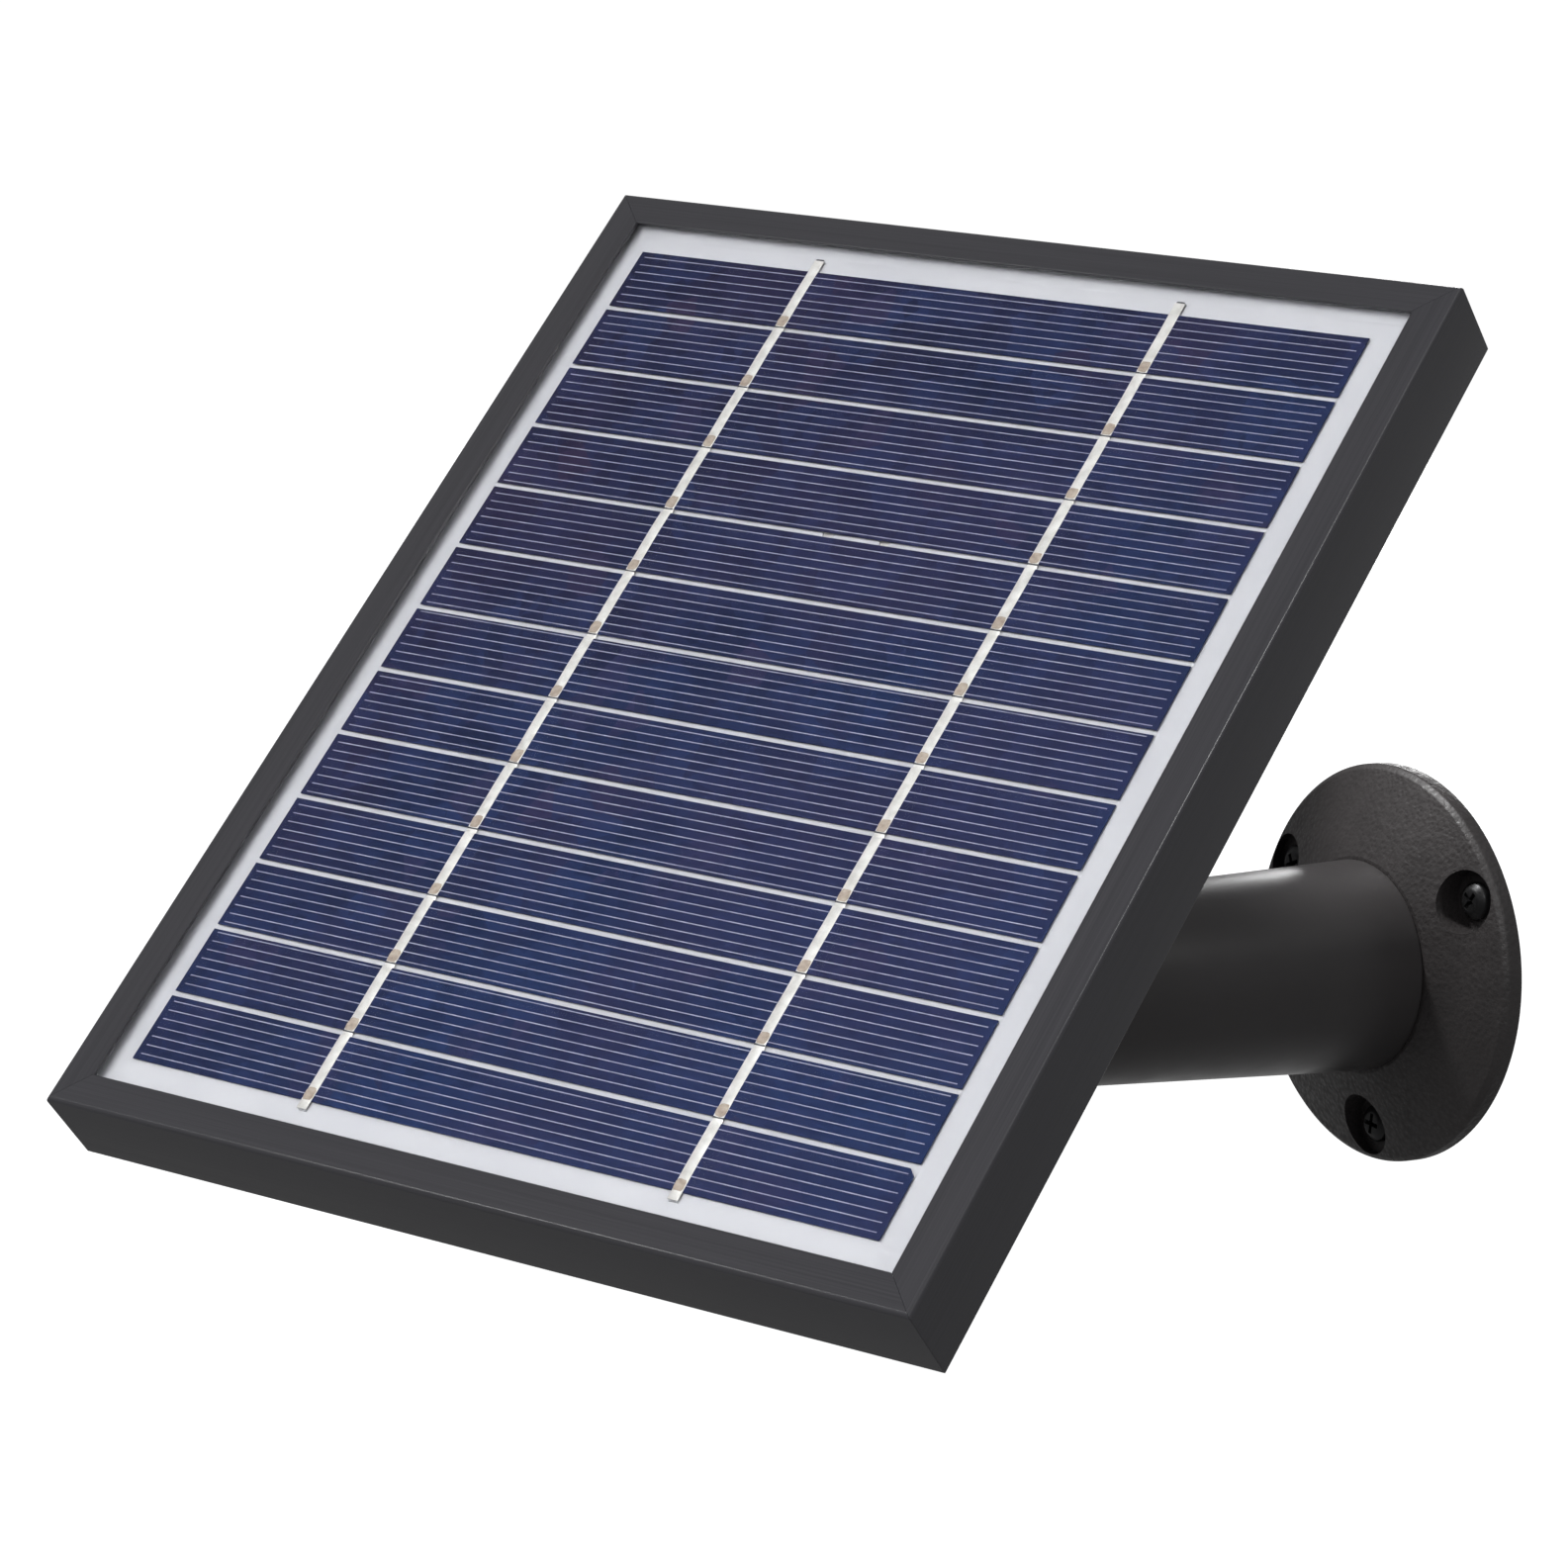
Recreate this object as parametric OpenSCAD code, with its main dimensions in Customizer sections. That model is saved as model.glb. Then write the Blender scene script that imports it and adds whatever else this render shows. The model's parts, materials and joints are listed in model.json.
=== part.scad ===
// Framed solar panel on a wall arm with a clamped ball joint, millimetres.
// The origin is the centre of the wall flange's back face. The wall is on the +Y side, +Z is up,
// and the arm runs out along -Y. The panel is drawn at its usual aim: turned to +X and tilted up.

/* [Panel frame] */
// Width of the frame
panel_w = 180; // [175:0.5:200]
// Height of the frame, along its slope
panel_h = 214.6; // [212:0.2:240]
// Depth of the frame from front to back
panel_d = 16.4; // [16.4:0.2:20]
// Width of the lip round the front
lip_w = 6.8; // [6:0.1:8]
// Thickness of that lip
lip_t = 0.8; // [0.7:0.1:1]
// Bevel along the outer front edge
edge_bevel = 0.6; // [0.3:0.1:0.7]

/* [Cells] */
// Number of cell strips
strip_count = 13; // [8:1:13]
// Length of a strip, the width of the wafer it was cut from
strip_w = 156.4; // [150:0.1:158]
// Height of a strip
strip_h = 13.6; // [12:0.1:13.6]
// Gap between neighbouring strips
strip_gap = 1.1; // [0.8:0.1:1.1]
// How far the array sits to the side of the middle
array_shift_x = -1.8; // [-2:0.1:2]
// How far it sits above the middle
array_shift_y = 0.6; // [-1:0.1:1]
// Thickness of the front glass
glass_t = 3.2; // [2:0.1:3.2]
// Width of a tabbing ribbon
ribbon_w = 2; // [1.5:0.1:2.5]
// Distance between the two rows of ribbon
ribbon_pitch = 77.8; // [70:0.1:80]

/* [Aim] */
// Turn of the panel towards +X
panel_yaw = 22.4; // [0:0.1:30]
// Height of the panel's normal above the horizon
panel_pitch = 45.3; // [40:0.1:60]

/* [Wall flange and arm] */
// Radius of the wall flange
flange_r = 38.1; // [36:0.1:42]
// Height of the flange's upright rim
flange_rim = 3; // [2.5:0.1:3.5]
// Height of the flange where the arm stands on it
flange_top = 9; // [8:0.1:10]
// Radius of the circle of wall screws
wall_screw_circle_r = 31.2; // [31:0.1:33]
// Angle of the first wall screw from +X
wall_screw_start = 34; // [0:1:60]
// Radius of a counterbore
counterbore_r = 6; // [5:0.1:6.5]
// Radius of the arm where it leaves the flange
arm_root_r = 20.15; // [19.5:0.05:20.5]
// Radius of the arm below its collar
arm_tip_r = 16.45; // [16.4:0.05:17]
// Distance of the ball's centre from the wall
ball_reach = 126; // [120:1:150]

/* [Ball joint] */
// Radius of the ball
ball_r = 12; // [12:0.1:12.2]
// Distance from the ball's centre to the back of the frame
standoff = 50; // [48:1:60]
// How far below the panel's middle the foot sits
foot_drop = 20; // [15:1:25]
// Radius of the foot
foot_r = 24; // [23:0.5:26]

/* [Hidden] */
$fn = 96;
fit = 0.1;
eps = 0.01;

// Frame rail section
wall_t = 1.4;
back_flange_w = 12.6;
chamber_w = 3.8;
key_wall_t = 1.2;
ledge_z = 10;
ledge_t = 1.2;
inner_wall = wall_t + chamber_w + key_wall_t;
mitre_run = back_flange_w + 1;
key_leg = 22;

// Laminate, from the lip downwards
laminate_edge = 2.2;
laminate_x = panel_w - 2 * laminate_edge;
laminate_y = panel_h - 2 * laminate_edge;
ribbon_t = 0.1;
cell_t = 0.2;
backsheet_t = 0.35;
glass_z = panel_d - lip_t - glass_t;
cell_z = glass_z - 0.35;
eva_back_z = cell_z - 0.45;
backsheet_z = eva_back_z - backsheet_t;
strip_pitch = strip_h + strip_gap;
array_h = strip_count * strip_pitch - strip_gap;
ribbon_tail = 6;
ribbon_top_end = 2.9;
ribbon_low_end = 1.8;
wafer_corner = 1.3;
bus_w = 5;
bus_t = 0.2;
bus_z = backsheet_z - bus_t;
lead_x = 6;
lead_r = 0.9;

// Back cover and its screws
cover_t = 2;
cover_gap = 0.3;
cover_z = wall_t;
cover_inset = inner_wall + cover_gap;
cover_x = panel_w - 2 * cover_inset;
cover_y = panel_h - 2 * cover_inset;
cover_screw_inset = 9.6;
cover_boss_r = 2.5;
cover_boss_h = 5;
cover_screw_r = 1.45;

// Junction box, lid and gland
box_x = 70;
box_y = 44;
box_d = 15;
box_t = 2;
box_r = 4;
box_at_y = 38;
box_rim_z = cover_z - box_d;
box_floor_z = cover_z - box_t;
lid_t = 2;
gasket_t = 0.6;
lid_z = box_rim_z - gasket_t - lid_t;
lid_screw_x = box_x / 2 - 5.5;
lid_screw_y = box_y / 2 - 5.5;
pcb_x = 46;
pcb_y = 30;
pcb_t = 1.6;
pcb_z = box_floor_z - 3 - pcb_t;
pcb_hole_x = pcb_x / 2 - 3.5;
pcb_hole_y = pcb_y / 2 - 3.5;
box_screw_x = 29;
wire_hole_r = 3;
gland_x = 18;
gland_z = -7.2;
gland_r = 5;
gland_y = box_at_y - box_y / 2;
cable_r = 2;

// Foot, stud and nut, measured from the ball's centre towards the panel
neck_r = 3.4;
stud_r = 4;
stud_shoulder = 20;
stud_end = 44;
nut_at = 26.5;
nut_t = 5;
washer_t = 1.5;
hub_at = nut_at + nut_t + washer_t + fit;
insert_r = 6;
insert_end = 46;
foot_face = standoff + cover_z;
foot_land = foot_face - 4.5;
foot_screw_circle_r = 18;
foot_screw_r = 2;
plate_size = 58;
plate_t = 1.5;

// Arm head, measured from the wall
spigot_r = 18;
pocket_floor = 4;
arm_floor = 12;
thread_start = 110;
thread_r = 15.6;
socket_r = ball_r + 1;
web_start = ball_reach - 23;
socket_floor = ball_reach - 20;
arm_end = ball_reach - 2;
collar_start = ball_reach - 13.5;
collar_r = 19.5;
collar_mouth = ball_r * cos(70);
arm_screw_circle_r = 11;
arm_screw_r = 2;
wall_screw_seat = 1.8;
wall_screw_r = 1.95;
wall_screw_len = 2;
wall_screw_tip = 2;

// Along the arm: z is the distance from the wall.
module on_arm() {
    rotate([90, 0, 0]) children();
}

// At the ball: z runs along the stud, towards the panel.
module at_ball() {
    translate([0, -ball_reach, 0]) rotate([90 - panel_pitch, 0, panel_yaw]) children();
}

// On the panel: x across, y up the slope, z out of the front, from the middle of the frame's back.
module on_panel() {
    at_ball() translate([0, foot_drop, standoff]) children();
}

module on_box() {
    on_panel() translate([0, box_at_y, 0]) children();
}

module around(count, radius, start = 0) {
    for (i = [0 : count - 1]) rotate([0, 0, start + i * 360 / count]) translate([radius, 0, 0]) children();
}

module at_corners(x, y) {
    for (sx = [-1, 1], sy = [-1, 1]) translate([sx * x, sy * y, 0]) children();
}

module slab(x, y, t, z = 0) {
    translate([-x / 2, -y / 2, z]) cube([x, y, t]);
}

module round_slab(x, y, t, r, z = 0) {
    translate([0, 0, z]) union() {
        slab(x, y - 2 * r, t);
        slab(x - 2 * r, y, t);
        at_corners(x / 2 - r, y / 2 - r) cylinder(r = r, h = t, $fn = 48);
    }
}

// A screw along -z with the underside of its head at z = 0.
module cross_recess(size, depth) {
    translate([-size / 2, -size / 10, -depth]) cube([size, size / 5, depth + 1]);
    translate([-size / 10, -size / 2, -depth]) cube([size / 5, size, depth + 1]);
}

module pan_screw(head_r, head_h, shank_r, length) {
    difference() {
        union() {
            cylinder(r1 = head_r, r2 = head_r * 0.78, h = head_h, $fn = 48);
            translate([0, 0, -length]) cylinder(r = shank_r, h = length + eps, $fn = 32);
        }
        translate([0, 0, head_h]) cross_recess(head_r * 1.15, head_h * 0.6);
    }
}

// ---- wall flange and arm ----

module wall_flange() {
    color([0.12, 0.12, 0.12]) on_arm() difference() {
        rotate_extrude() polygon([
            [0, 0], [flange_r, 0], [flange_r, flange_rim], [flange_r - 0.9, flange_rim + 0.9],
            [arm_root_r + 0.6, flange_top], [spigot_r + fit, flange_top], [spigot_r + fit, pocket_floor],
            [0, pocket_floor]
        ]);
        around(3, wall_screw_circle_r, wall_screw_start) {
            translate([0, 0, -1]) cylinder(r = 2.3, h = 12, $fn = 48);
            translate([0, 0, wall_screw_seat]) cylinder(r = counterbore_r, h = 10, $fn = 64);
        }
        around(3, arm_screw_circle_r, wall_screw_start) {
            translate([0, 0, -1]) cylinder(r = arm_screw_r + 0.2, h = 6, $fn = 48);
            translate([0, 0, -eps]) cylinder(r1 = 4, r2 = arm_screw_r, h = 2, $fn = 48);
        }
    }
}

module wall_screws() {
    color([0.15, 0.15, 0.15]) on_arm() around(3, wall_screw_circle_r, wall_screw_start) {
        translate([0, 0, wall_screw_seat]) pan_screw(3.6, 2.4, 2.1, wall_screw_seat);
        translate([0, 0, -wall_screw_len]) cylinder(r = wall_screw_r, h = wall_screw_len + eps, $fn = 48);
        translate([0, 0, -wall_screw_len - wall_screw_tip])
            cylinder(r1 = 0.2, r2 = wall_screw_r, h = wall_screw_tip, $fn = 48);
    }
}

module arm() {
    color([0.13, 0.13, 0.13]) on_arm() difference() {
        union() {
            translate([0, 0, pocket_floor]) cylinder(r = spigot_r, h = flange_top - pocket_floor + eps);
            translate([0, 0, flange_top])
                cylinder(r1 = arm_root_r, r2 = arm_tip_r, h = thread_start - flange_top, $fn = 128);
            translate([0, 0, thread_start - eps]) cylinder(r = thread_r, h = arm_end - thread_start + eps);
        }
        translate([0, 0, arm_floor])
            cylinder(r1 = arm_root_r - 3.4, r2 = arm_tip_r - 3, h = web_start - arm_floor);
        translate([0, 0, web_start - 1]) cylinder(r = 5, h = 6, $fn = 48);
        translate([0, 0, socket_floor]) cylinder(r = socket_r, h = ball_reach);
        around(3, arm_screw_circle_r, wall_screw_start)
            translate([0, 0, pocket_floor - 1]) cylinder(r = arm_screw_r - 0.3, h = 7, $fn = 32);
    }
}

module arm_screws() {
    color([0.6, 0.6, 0.62]) on_arm() around(3, arm_screw_circle_r, wall_screw_start) difference() {
        union() {
            translate([0, 0, 0.1]) cylinder(r1 = 3.7, r2 = arm_screw_r - 0.3, h = 1.9, $fn = 48);
            translate([0, 0, 1]) cylinder(r = arm_screw_r - 0.3, h = 8, $fn = 32);
        }
        rotate([180, 0, 0]) translate([0, 0, -0.1]) cross_recess(3.8, 1.2);
    }
}

module disc_springs() {
    rise = 0.8;
    leaf_t = 0.78;
    color([0.55, 0.55, 0.57]) on_arm() translate([0, 0, socket_floor]) {
        rotate_extrude() polygon([[12.4, 0], [12.4, leaf_t], [6.5, leaf_t + rise], [6.5, rise]]);
        rotate_extrude() polygon([
            [6.5, 1.62], [6.5, 1.62 + leaf_t], [12.4, 1.62 + leaf_t + rise], [12.4, 1.62 + rise]
        ]);
    }
}

module pressure_cup() {
    cup_start = socket_floor + 3.3;
    color([0.75, 0.74, 0.7]) on_arm() difference() {
        translate([0, 0, cup_start]) cylinder(r = socket_r - fit, h = arm_end - 0.2 - cup_start);
        translate([0, 0, ball_reach]) sphere(r = ball_r + fit);
    }
}

module locking_collar() {
    flutes = 20;
    mouth = ball_reach + collar_mouth;
    color([0.1, 0.1, 0.1]) on_arm() difference() {
        rotate_extrude() polygon([
            [0, collar_start], [collar_r - 0.8, collar_start], [collar_r, collar_start + 0.8],
            [collar_r, mouth - 3.5], [collar_r - 3.5, mouth], [0, mouth]
        ]);
        translate([0, 0, collar_start - 1]) cylinder(r = thread_r + fit, h = arm_end + 0.3 - collar_start + 1);
        translate([0, 0, ball_reach]) sphere(r = ball_r + fit);
        around(flutes, collar_r + 0.7)
            translate([0, 0, collar_start + 2]) cylinder(r = 1.5, h = 12, $fn = 24);
    }
}

// ---- ball, stud and foot ----

module ball_stud() {
    color([0.62, 0.62, 0.64]) at_ball() union() {
        sphere(r = ball_r);
        translate([0, 0, ball_r - 2]) cylinder(r = neck_r, h = stud_shoulder - ball_r + 2 + eps, $fn = 64);
        translate([0, 0, stud_shoulder]) cylinder(r = 6.5, h = 4, $fn = 6);
        translate([0, 0, stud_shoulder + 4 - eps]) cylinder(r = stud_r, h = stud_end - stud_shoulder - 4, $fn = 64);
    }
}

module jam_nut() {
    color([0.66, 0.66, 0.68]) at_ball() translate([0, 0, nut_at]) difference() {
        cylinder(r = 7.5, h = nut_t, $fn = 6);
        translate([0, 0, -1]) cylinder(r = stud_r + 0.05, h = nut_t + 2, $fn = 64);
    }
}

module lock_washer() {
    color([0.6, 0.6, 0.62]) at_ball() translate([0, 0, nut_at + nut_t]) difference() {
        cylinder(r = 7, h = washer_t, $fn = 64);
        translate([0, 0, -1]) cylinder(r = stud_r + 0.1, h = washer_t + 2, $fn = 64);
    }
}

module foot() {
    color([0.12, 0.12, 0.12]) at_ball() difference() {
        rotate_extrude() polygon([
            [0, hub_at], [10, hub_at], [10.8, hub_at + 0.8], [13.4, foot_land - 1.2], [14.4, foot_land],
            [foot_r - 0.8, foot_land], [foot_r, foot_land + 0.8], [foot_r, foot_face], [0, foot_face]
        ]);
        translate([0, 0, hub_at - 1]) cylinder(r = insert_r, h = insert_end + 2 - hub_at, $fn = 64);
        around(4, foot_screw_circle_r, 45)
            translate([0, 0, foot_land - 1]) cylinder(r = foot_screw_r + 0.25, h = 12, $fn = 32);
    }
}

module foot_insert() {
    color([0.78, 0.62, 0.3]) at_ball() translate([0, 0, hub_at]) difference() {
        cylinder(r = insert_r, h = insert_end - hub_at, $fn = 64);
        translate([0, 0, -1]) cylinder(r = stud_r + 0.08, h = insert_end, $fn = 64);
    }
}

module foot_screws() {
    color([0.6, 0.6, 0.62]) at_ball() around(4, foot_screw_circle_r, 45)
        translate([0, 0, foot_land]) rotate([180, 0, 0]) pan_screw(3.3, 2.2, foot_screw_r - 0.05, 10.2);
}

module backing_plate() {
    color([0.6, 0.61, 0.63]) at_ball() difference() {
        slab(plate_size, plate_size, plate_t, foot_face + cover_t);
        around(4, foot_screw_circle_r, 45)
            translate([0, 0, foot_face]) cylinder(r = foot_screw_r, h = 10, $fn = 32);
    }
}

// ---- frame ----

module rail_section() {
    difference() {
        polygon([
            [0, 0], [back_flange_w, 0], [back_flange_w, wall_t], [inner_wall, wall_t],
            [inner_wall, ledge_z], [wall_t, ledge_z], [wall_t, panel_d - lip_t], [lip_w, panel_d - lip_t],
            [lip_w, panel_d - 0.2], [lip_w - 0.2, panel_d], [edge_bevel, panel_d], [0, panel_d - edge_bevel]
        ]);
        translate([wall_t, wall_t]) square([chamber_w, ledge_z - ledge_t - wall_t]);
    }
}

// One mitred rail on the -y side of a frame side_length long and 2 * half deep.
module rail(side_length, half) {
    intersection() {
        translate([-side_length / 2, -half, 0]) rotate([90, 0, 90])
            linear_extrude(height = side_length) rail_section();
        linear_extrude(height = panel_d + 1) polygon([
            [-side_length / 2, -half], [side_length / 2, -half],
            [side_length / 2 - mitre_run, mitre_run - half], [mitre_run - side_length / 2, mitre_run - half]
        ]);
    }
}

module at_cover_screws() {
    x = panel_w / 2 - cover_screw_inset;
    y = panel_h / 2 - cover_screw_inset;
    for (side = [-1, 1]) {
        for (along = [-1, 0, 1]) translate([side * x, along * panel_h / 3, 0]) children();
        for (along = [-1, 1]) translate([along * panel_w / 4, side * y, 0]) children();
    }
}

module drilled_rail() {
    difference() {
        children();
        at_cover_screws() translate([0, 0, -1]) cylinder(r = 1.7, h = wall_t + 2, $fn = 32);
    }
}

module rail_bottom() {
    color([0.16, 0.16, 0.17]) on_panel() drilled_rail() rail(panel_w, panel_h / 2);
}

module rail_top() {
    color([0.16, 0.16, 0.17]) on_panel() drilled_rail() rotate([0, 0, 180]) rail(panel_w, panel_h / 2);
}

module rail_right() {
    color([0.16, 0.16, 0.17]) on_panel() drilled_rail() rotate([0, 0, 90]) rail(panel_h, panel_w / 2);
}

module rail_left() {
    color([0.16, 0.16, 0.17]) on_panel() drilled_rail() rotate([0, 0, -90]) rail(panel_h, panel_w / 2);
}

module corner_keys() {
    key_w = chamber_w - 2 * fit;
    key_h = ledge_z - ledge_t - wall_t - 2 * fit;
    at = wall_t + fit;
    color([0.65, 0.65, 0.67]) on_panel() for (sx = [0, 1], sy = [0, 1])
        mirror([sx, 0, 0]) mirror([0, sy, 0]) translate([at - panel_w / 2, at - panel_h / 2, at]) union() {
            cube([key_leg, key_w, key_h]);
            cube([key_w, key_leg, key_h]);
        }
}

module glazing_seal() {
    edge = wall_t + fit;
    bed = 6;
    color([0.2, 0.2, 0.2]) on_panel() difference() {
        slab(panel_w - 2 * edge, panel_h - 2 * edge, panel_d - lip_t - ledge_z, ledge_z);
        slab(laminate_x, laminate_y, 10, backsheet_z);
        slab(panel_w - 2 * bed, panel_h - 2 * bed, 20, ledge_z - 1);
    }
}

// ---- laminate ----

// Height up the slope of strip i's upper edge; strip 0 is the highest.
function strip_top(i) = array_shift_y + array_h / 2 - i * strip_pitch;

module strips(grow = 0) {
    for (i = [0 : strip_count - 1])
        translate([array_shift_x, strip_top(i) - strip_h / 2, 0]) slab(strip_w, strip_h, cell_t + grow, cell_z);
}

bus_top = strip_top(0) + ribbon_top_end;
bus_low = strip_top(strip_count) + strip_gap - ribbon_low_end;

// A ribbon lies on one strip, steps down through the gap and runs on under the next strip. The first
// and the last also turn back through the backsheet to a bus.
module ribbon(i) {
    top = strip_top(i);
    low = top - strip_h;
    face = cell_z + cell_t;
    skin = face + ribbon_t;
    next = low - strip_gap;
    start = i == 0
        ? [[bus_top - ribbon_t, face], [bus_top - ribbon_t, backsheet_z], [bus_top, backsheet_z], [bus_top, skin]]
        : [[top, face], [top, skin]];
    end = i == strip_count - 1
        ? [[bus_low, skin], [bus_low, backsheet_z], [bus_low + ribbon_t, backsheet_z], [bus_low + ribbon_t, face]]
        : [[low, skin], [next, cell_z], [next - ribbon_tail, cell_z], [next - ribbon_tail, cell_z - ribbon_t],
           [next, cell_z - ribbon_t], [low, face]];
    outline = concat(start, end);
    rotate([90, 0, 90]) translate([0, 0, -ribbon_w / 2]) linear_extrude(height = ribbon_w) polygon(outline);
}

module ribbons() {
    for (side = [-1, 1], i = [0 : strip_count - 1])
        translate([array_shift_x + side * ribbon_pitch / 2, 0, 0]) ribbon(i);
}

module front_glass() {
    color([0.75, 0.8, 0.9, 0.3]) on_panel() slab(laminate_x, laminate_y, glass_t, glass_z);
}

module front_encapsulant() {
    color([0.9, 0.92, 0.95, 0.4]) on_panel() difference() {
        slab(laminate_x, laminate_y, glass_z - cell_z, cell_z);
        strips();
        ribbons();
    }
}

module solar_cells() {
    right = array_shift_x + strip_w / 2;
    low = strip_top(strip_count - 1) - strip_h;
    color([0.13, 0.15, 0.36]) on_panel() difference() {
        strips();
        translate([right, low + strip_h, cell_z - 1]) rotate([0, 0, 45])
            slab(wafer_corner * sqrt(2), wafer_corner * sqrt(2), 3);
    }
}

module tabbing_ribbons() {
    color([0.85, 0.84, 0.8]) on_panel() ribbons();
}

module rear_encapsulant() {
    color([0.9, 0.92, 0.95, 0.4]) on_panel() difference() {
        slab(laminate_x, laminate_y, cell_z - eva_back_z, eva_back_z);
        ribbons();
    }
}

module at_leads() {
    for (side = [-1, 1]) translate([side * lead_x, box_at_y, 0]) children();
}

module backsheet() {
    color([0.92, 0.93, 0.96]) on_panel() difference() {
        slab(laminate_x, laminate_y, backsheet_t, backsheet_z);
        ribbons();
        at_leads() translate([0, 0, backsheet_z - 1]) cylinder(r = lead_r + 0.2, h = 4, $fn = 32);
    }
}

// Each bus joins the two ribbons at one end of the array and runs to a lead near the junction box.
module buses() {
    for (y = [bus_top, bus_low]) {
        lead = y > 0 ? lead_x : -lead_x;
        translate([array_shift_x, y, 0]) slab(ribbon_pitch + ribbon_w, bus_w, bus_t, bus_z);
        translate([lead, (y + box_at_y) / 2, 0]) slab(bus_w, abs(y - box_at_y) + bus_w, bus_t, bus_z);
    }
}

module bus_ribbons() {
    color([0.8, 0.8, 0.78]) on_panel() buses();
}

module lead_wires() {
    color([0.7, 0.1, 0.1]) on_panel() at_leads()
        translate([0, 0, pcb_z + pcb_t]) cylinder(r = lead_r, h = bus_z - pcb_z - pcb_t, $fn = 32);
}

// ---- back cover ----

module back_cover() {
    rib_t = 1.6;
    rib_h = 4;
    color([0.1, 0.1, 0.1]) on_panel() difference() {
        union() {
            slab(cover_x, cover_y, cover_t, cover_z);
            at_cover_screws() translate([0, 0, cover_z]) cylinder(r = cover_boss_r, h = cover_t + cover_boss_h, $fn = 32);
            for (side = [-1, 1]) {
                translate([side * cover_x / 4, 0, 0]) slab(rib_t, cover_y - 20, rib_h, cover_z + cover_t - eps);
                translate([0, side * cover_y * 0.38, 0]) slab(cover_x - 20, rib_t, rib_h, cover_z + cover_t - eps);
            }
        }
        at_cover_screws() translate([0, 0, 0]) cylinder(r = cover_screw_r - 0.25, h = 7, $fn = 32);
        translate([0, -foot_drop, -standoff]) around(4, foot_screw_circle_r, 45)
            translate([0, 0, foot_face - 1]) cylinder(r = foot_screw_r + 0.25, h = 8, $fn = 32);
        translate([0, box_at_y, 0]) {
            for (side = [-1, 1]) translate([side * lead_x, 0, 0]) cylinder(r = wire_hole_r, h = 20, $fn = 32);
            for (side = [-1, 1]) translate([side * box_screw_x, 0, 0]) cylinder(r = 1.2, h = 20, $fn = 32);
        }
    }
}

module cover_screws() {
    color([0.12, 0.12, 0.12]) on_panel() at_cover_screws()
        rotate([180, 0, 0]) pan_screw(2.7, 1.7, cover_screw_r - 0.3, 6.5);
}

// ---- junction box ----

module junction_box() {
    color([0.09, 0.09, 0.09]) on_box() difference() {
        union() {
            difference() {
                round_slab(box_x, box_y, box_d, box_r, box_rim_z);
                round_slab(box_x - 2 * box_t, box_y - 2 * box_t, box_d, box_r - box_t, box_rim_z - box_t);
            }
            at_corners(lid_screw_x, lid_screw_y) translate([0, 0, box_rim_z]) cylinder(r = 3.6, h = box_d - 1, $fn = 32);
            at_corners(pcb_hole_x, pcb_hole_y) translate([0, 0, pcb_z + pcb_t]) cylinder(r = 2.5, h = 3.5, $fn = 32);
        }
        at_corners(lid_screw_x, lid_screw_y) translate([0, 0, box_rim_z - 1]) cylinder(r = 1.2, h = 11, $fn = 32);
        at_corners(pcb_hole_x, pcb_hole_y) translate([0, 0, pcb_z]) cylinder(r = 0.9, h = 5.5, $fn = 32);
        for (side = [-1, 1]) {
            translate([side * lead_x, 0, box_rim_z]) cylinder(r = wire_hole_r, h = 20, $fn = 32);
            translate([side * box_screw_x, 0, box_rim_z]) cylinder(r = 1.7, h = 20, $fn = 32);
        }
        translate([gland_x, -box_y / 2 - 1, gland_z]) rotate([-90, 0, 0])
            cylinder(r = gland_r + fit, h = box_t + 2, $fn = 64);
    }
}

module box_screws() {
    color([0.6, 0.6, 0.62]) on_box() for (side = [-1, 1])
        translate([side * box_screw_x, 0, box_floor_z]) rotate([180, 0, 0]) pan_screw(2.7, 1.7, 1.15, 6.5);
}

module box_lid() {
    color([0.09, 0.09, 0.09]) on_box() difference() {
        union() {
            round_slab(box_x, box_y, lid_t - 0.6, box_r, lid_z + 0.6);
            round_slab(box_x - 1.2, box_y - 1.2, 0.61, box_r - 0.6, lid_z);
        }
        at_corners(lid_screw_x, lid_screw_y) translate([0, 0, lid_z - 1]) cylinder(r = 1.7, h = 6, $fn = 32);
    }
}

module lid_gasket() {
    color([0.2, 0.2, 0.2]) on_box() difference() {
        round_slab(box_x - 0.4, box_y - 0.4, gasket_t, box_r - 0.2, box_rim_z - gasket_t);
        round_slab(box_x - 2 * box_t, box_y - 2 * box_t, 4, box_r - box_t, box_rim_z - 2);
    }
}

module lid_screws() {
    color([0.6, 0.6, 0.62]) on_box() at_corners(lid_screw_x, lid_screw_y)
        translate([0, 0, lid_z]) rotate([180, 0, 0]) pan_screw(2.7, 1.7, 1.15, 11);
}

module charge_board() {
    color([0.05, 0.35, 0.18]) on_box() difference() {
        slab(pcb_x, pcb_y, pcb_t, pcb_z);
        at_corners(pcb_hole_x, pcb_hole_y) translate([0, 0, pcb_z - 1]) cylinder(r = 1.3, h = 4, $fn = 32);
    }
}

// Choke, two capacitors, regulator chip, diode and the output terminal block.
module board_components() {
    color([0.2, 0.2, 0.22]) on_box() translate([0, 0, pcb_z]) rotate([180, 0, 0]) {
        translate([-12, 5, 0]) cylinder(r = 4.5, h = 4, $fn = 48);
        for (x = [-3, 4]) translate([x, -7, 0]) cylinder(r = 2.5, h = 6, $fn = 48);
        translate([-12, -7, 0]) slab(6, 5, 1.6);
        translate([2, 5, 0]) slab(7, 4, 2.2);
        translate([15, 2, 0]) slab(8, 10, 6.5);
    }
}

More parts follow.
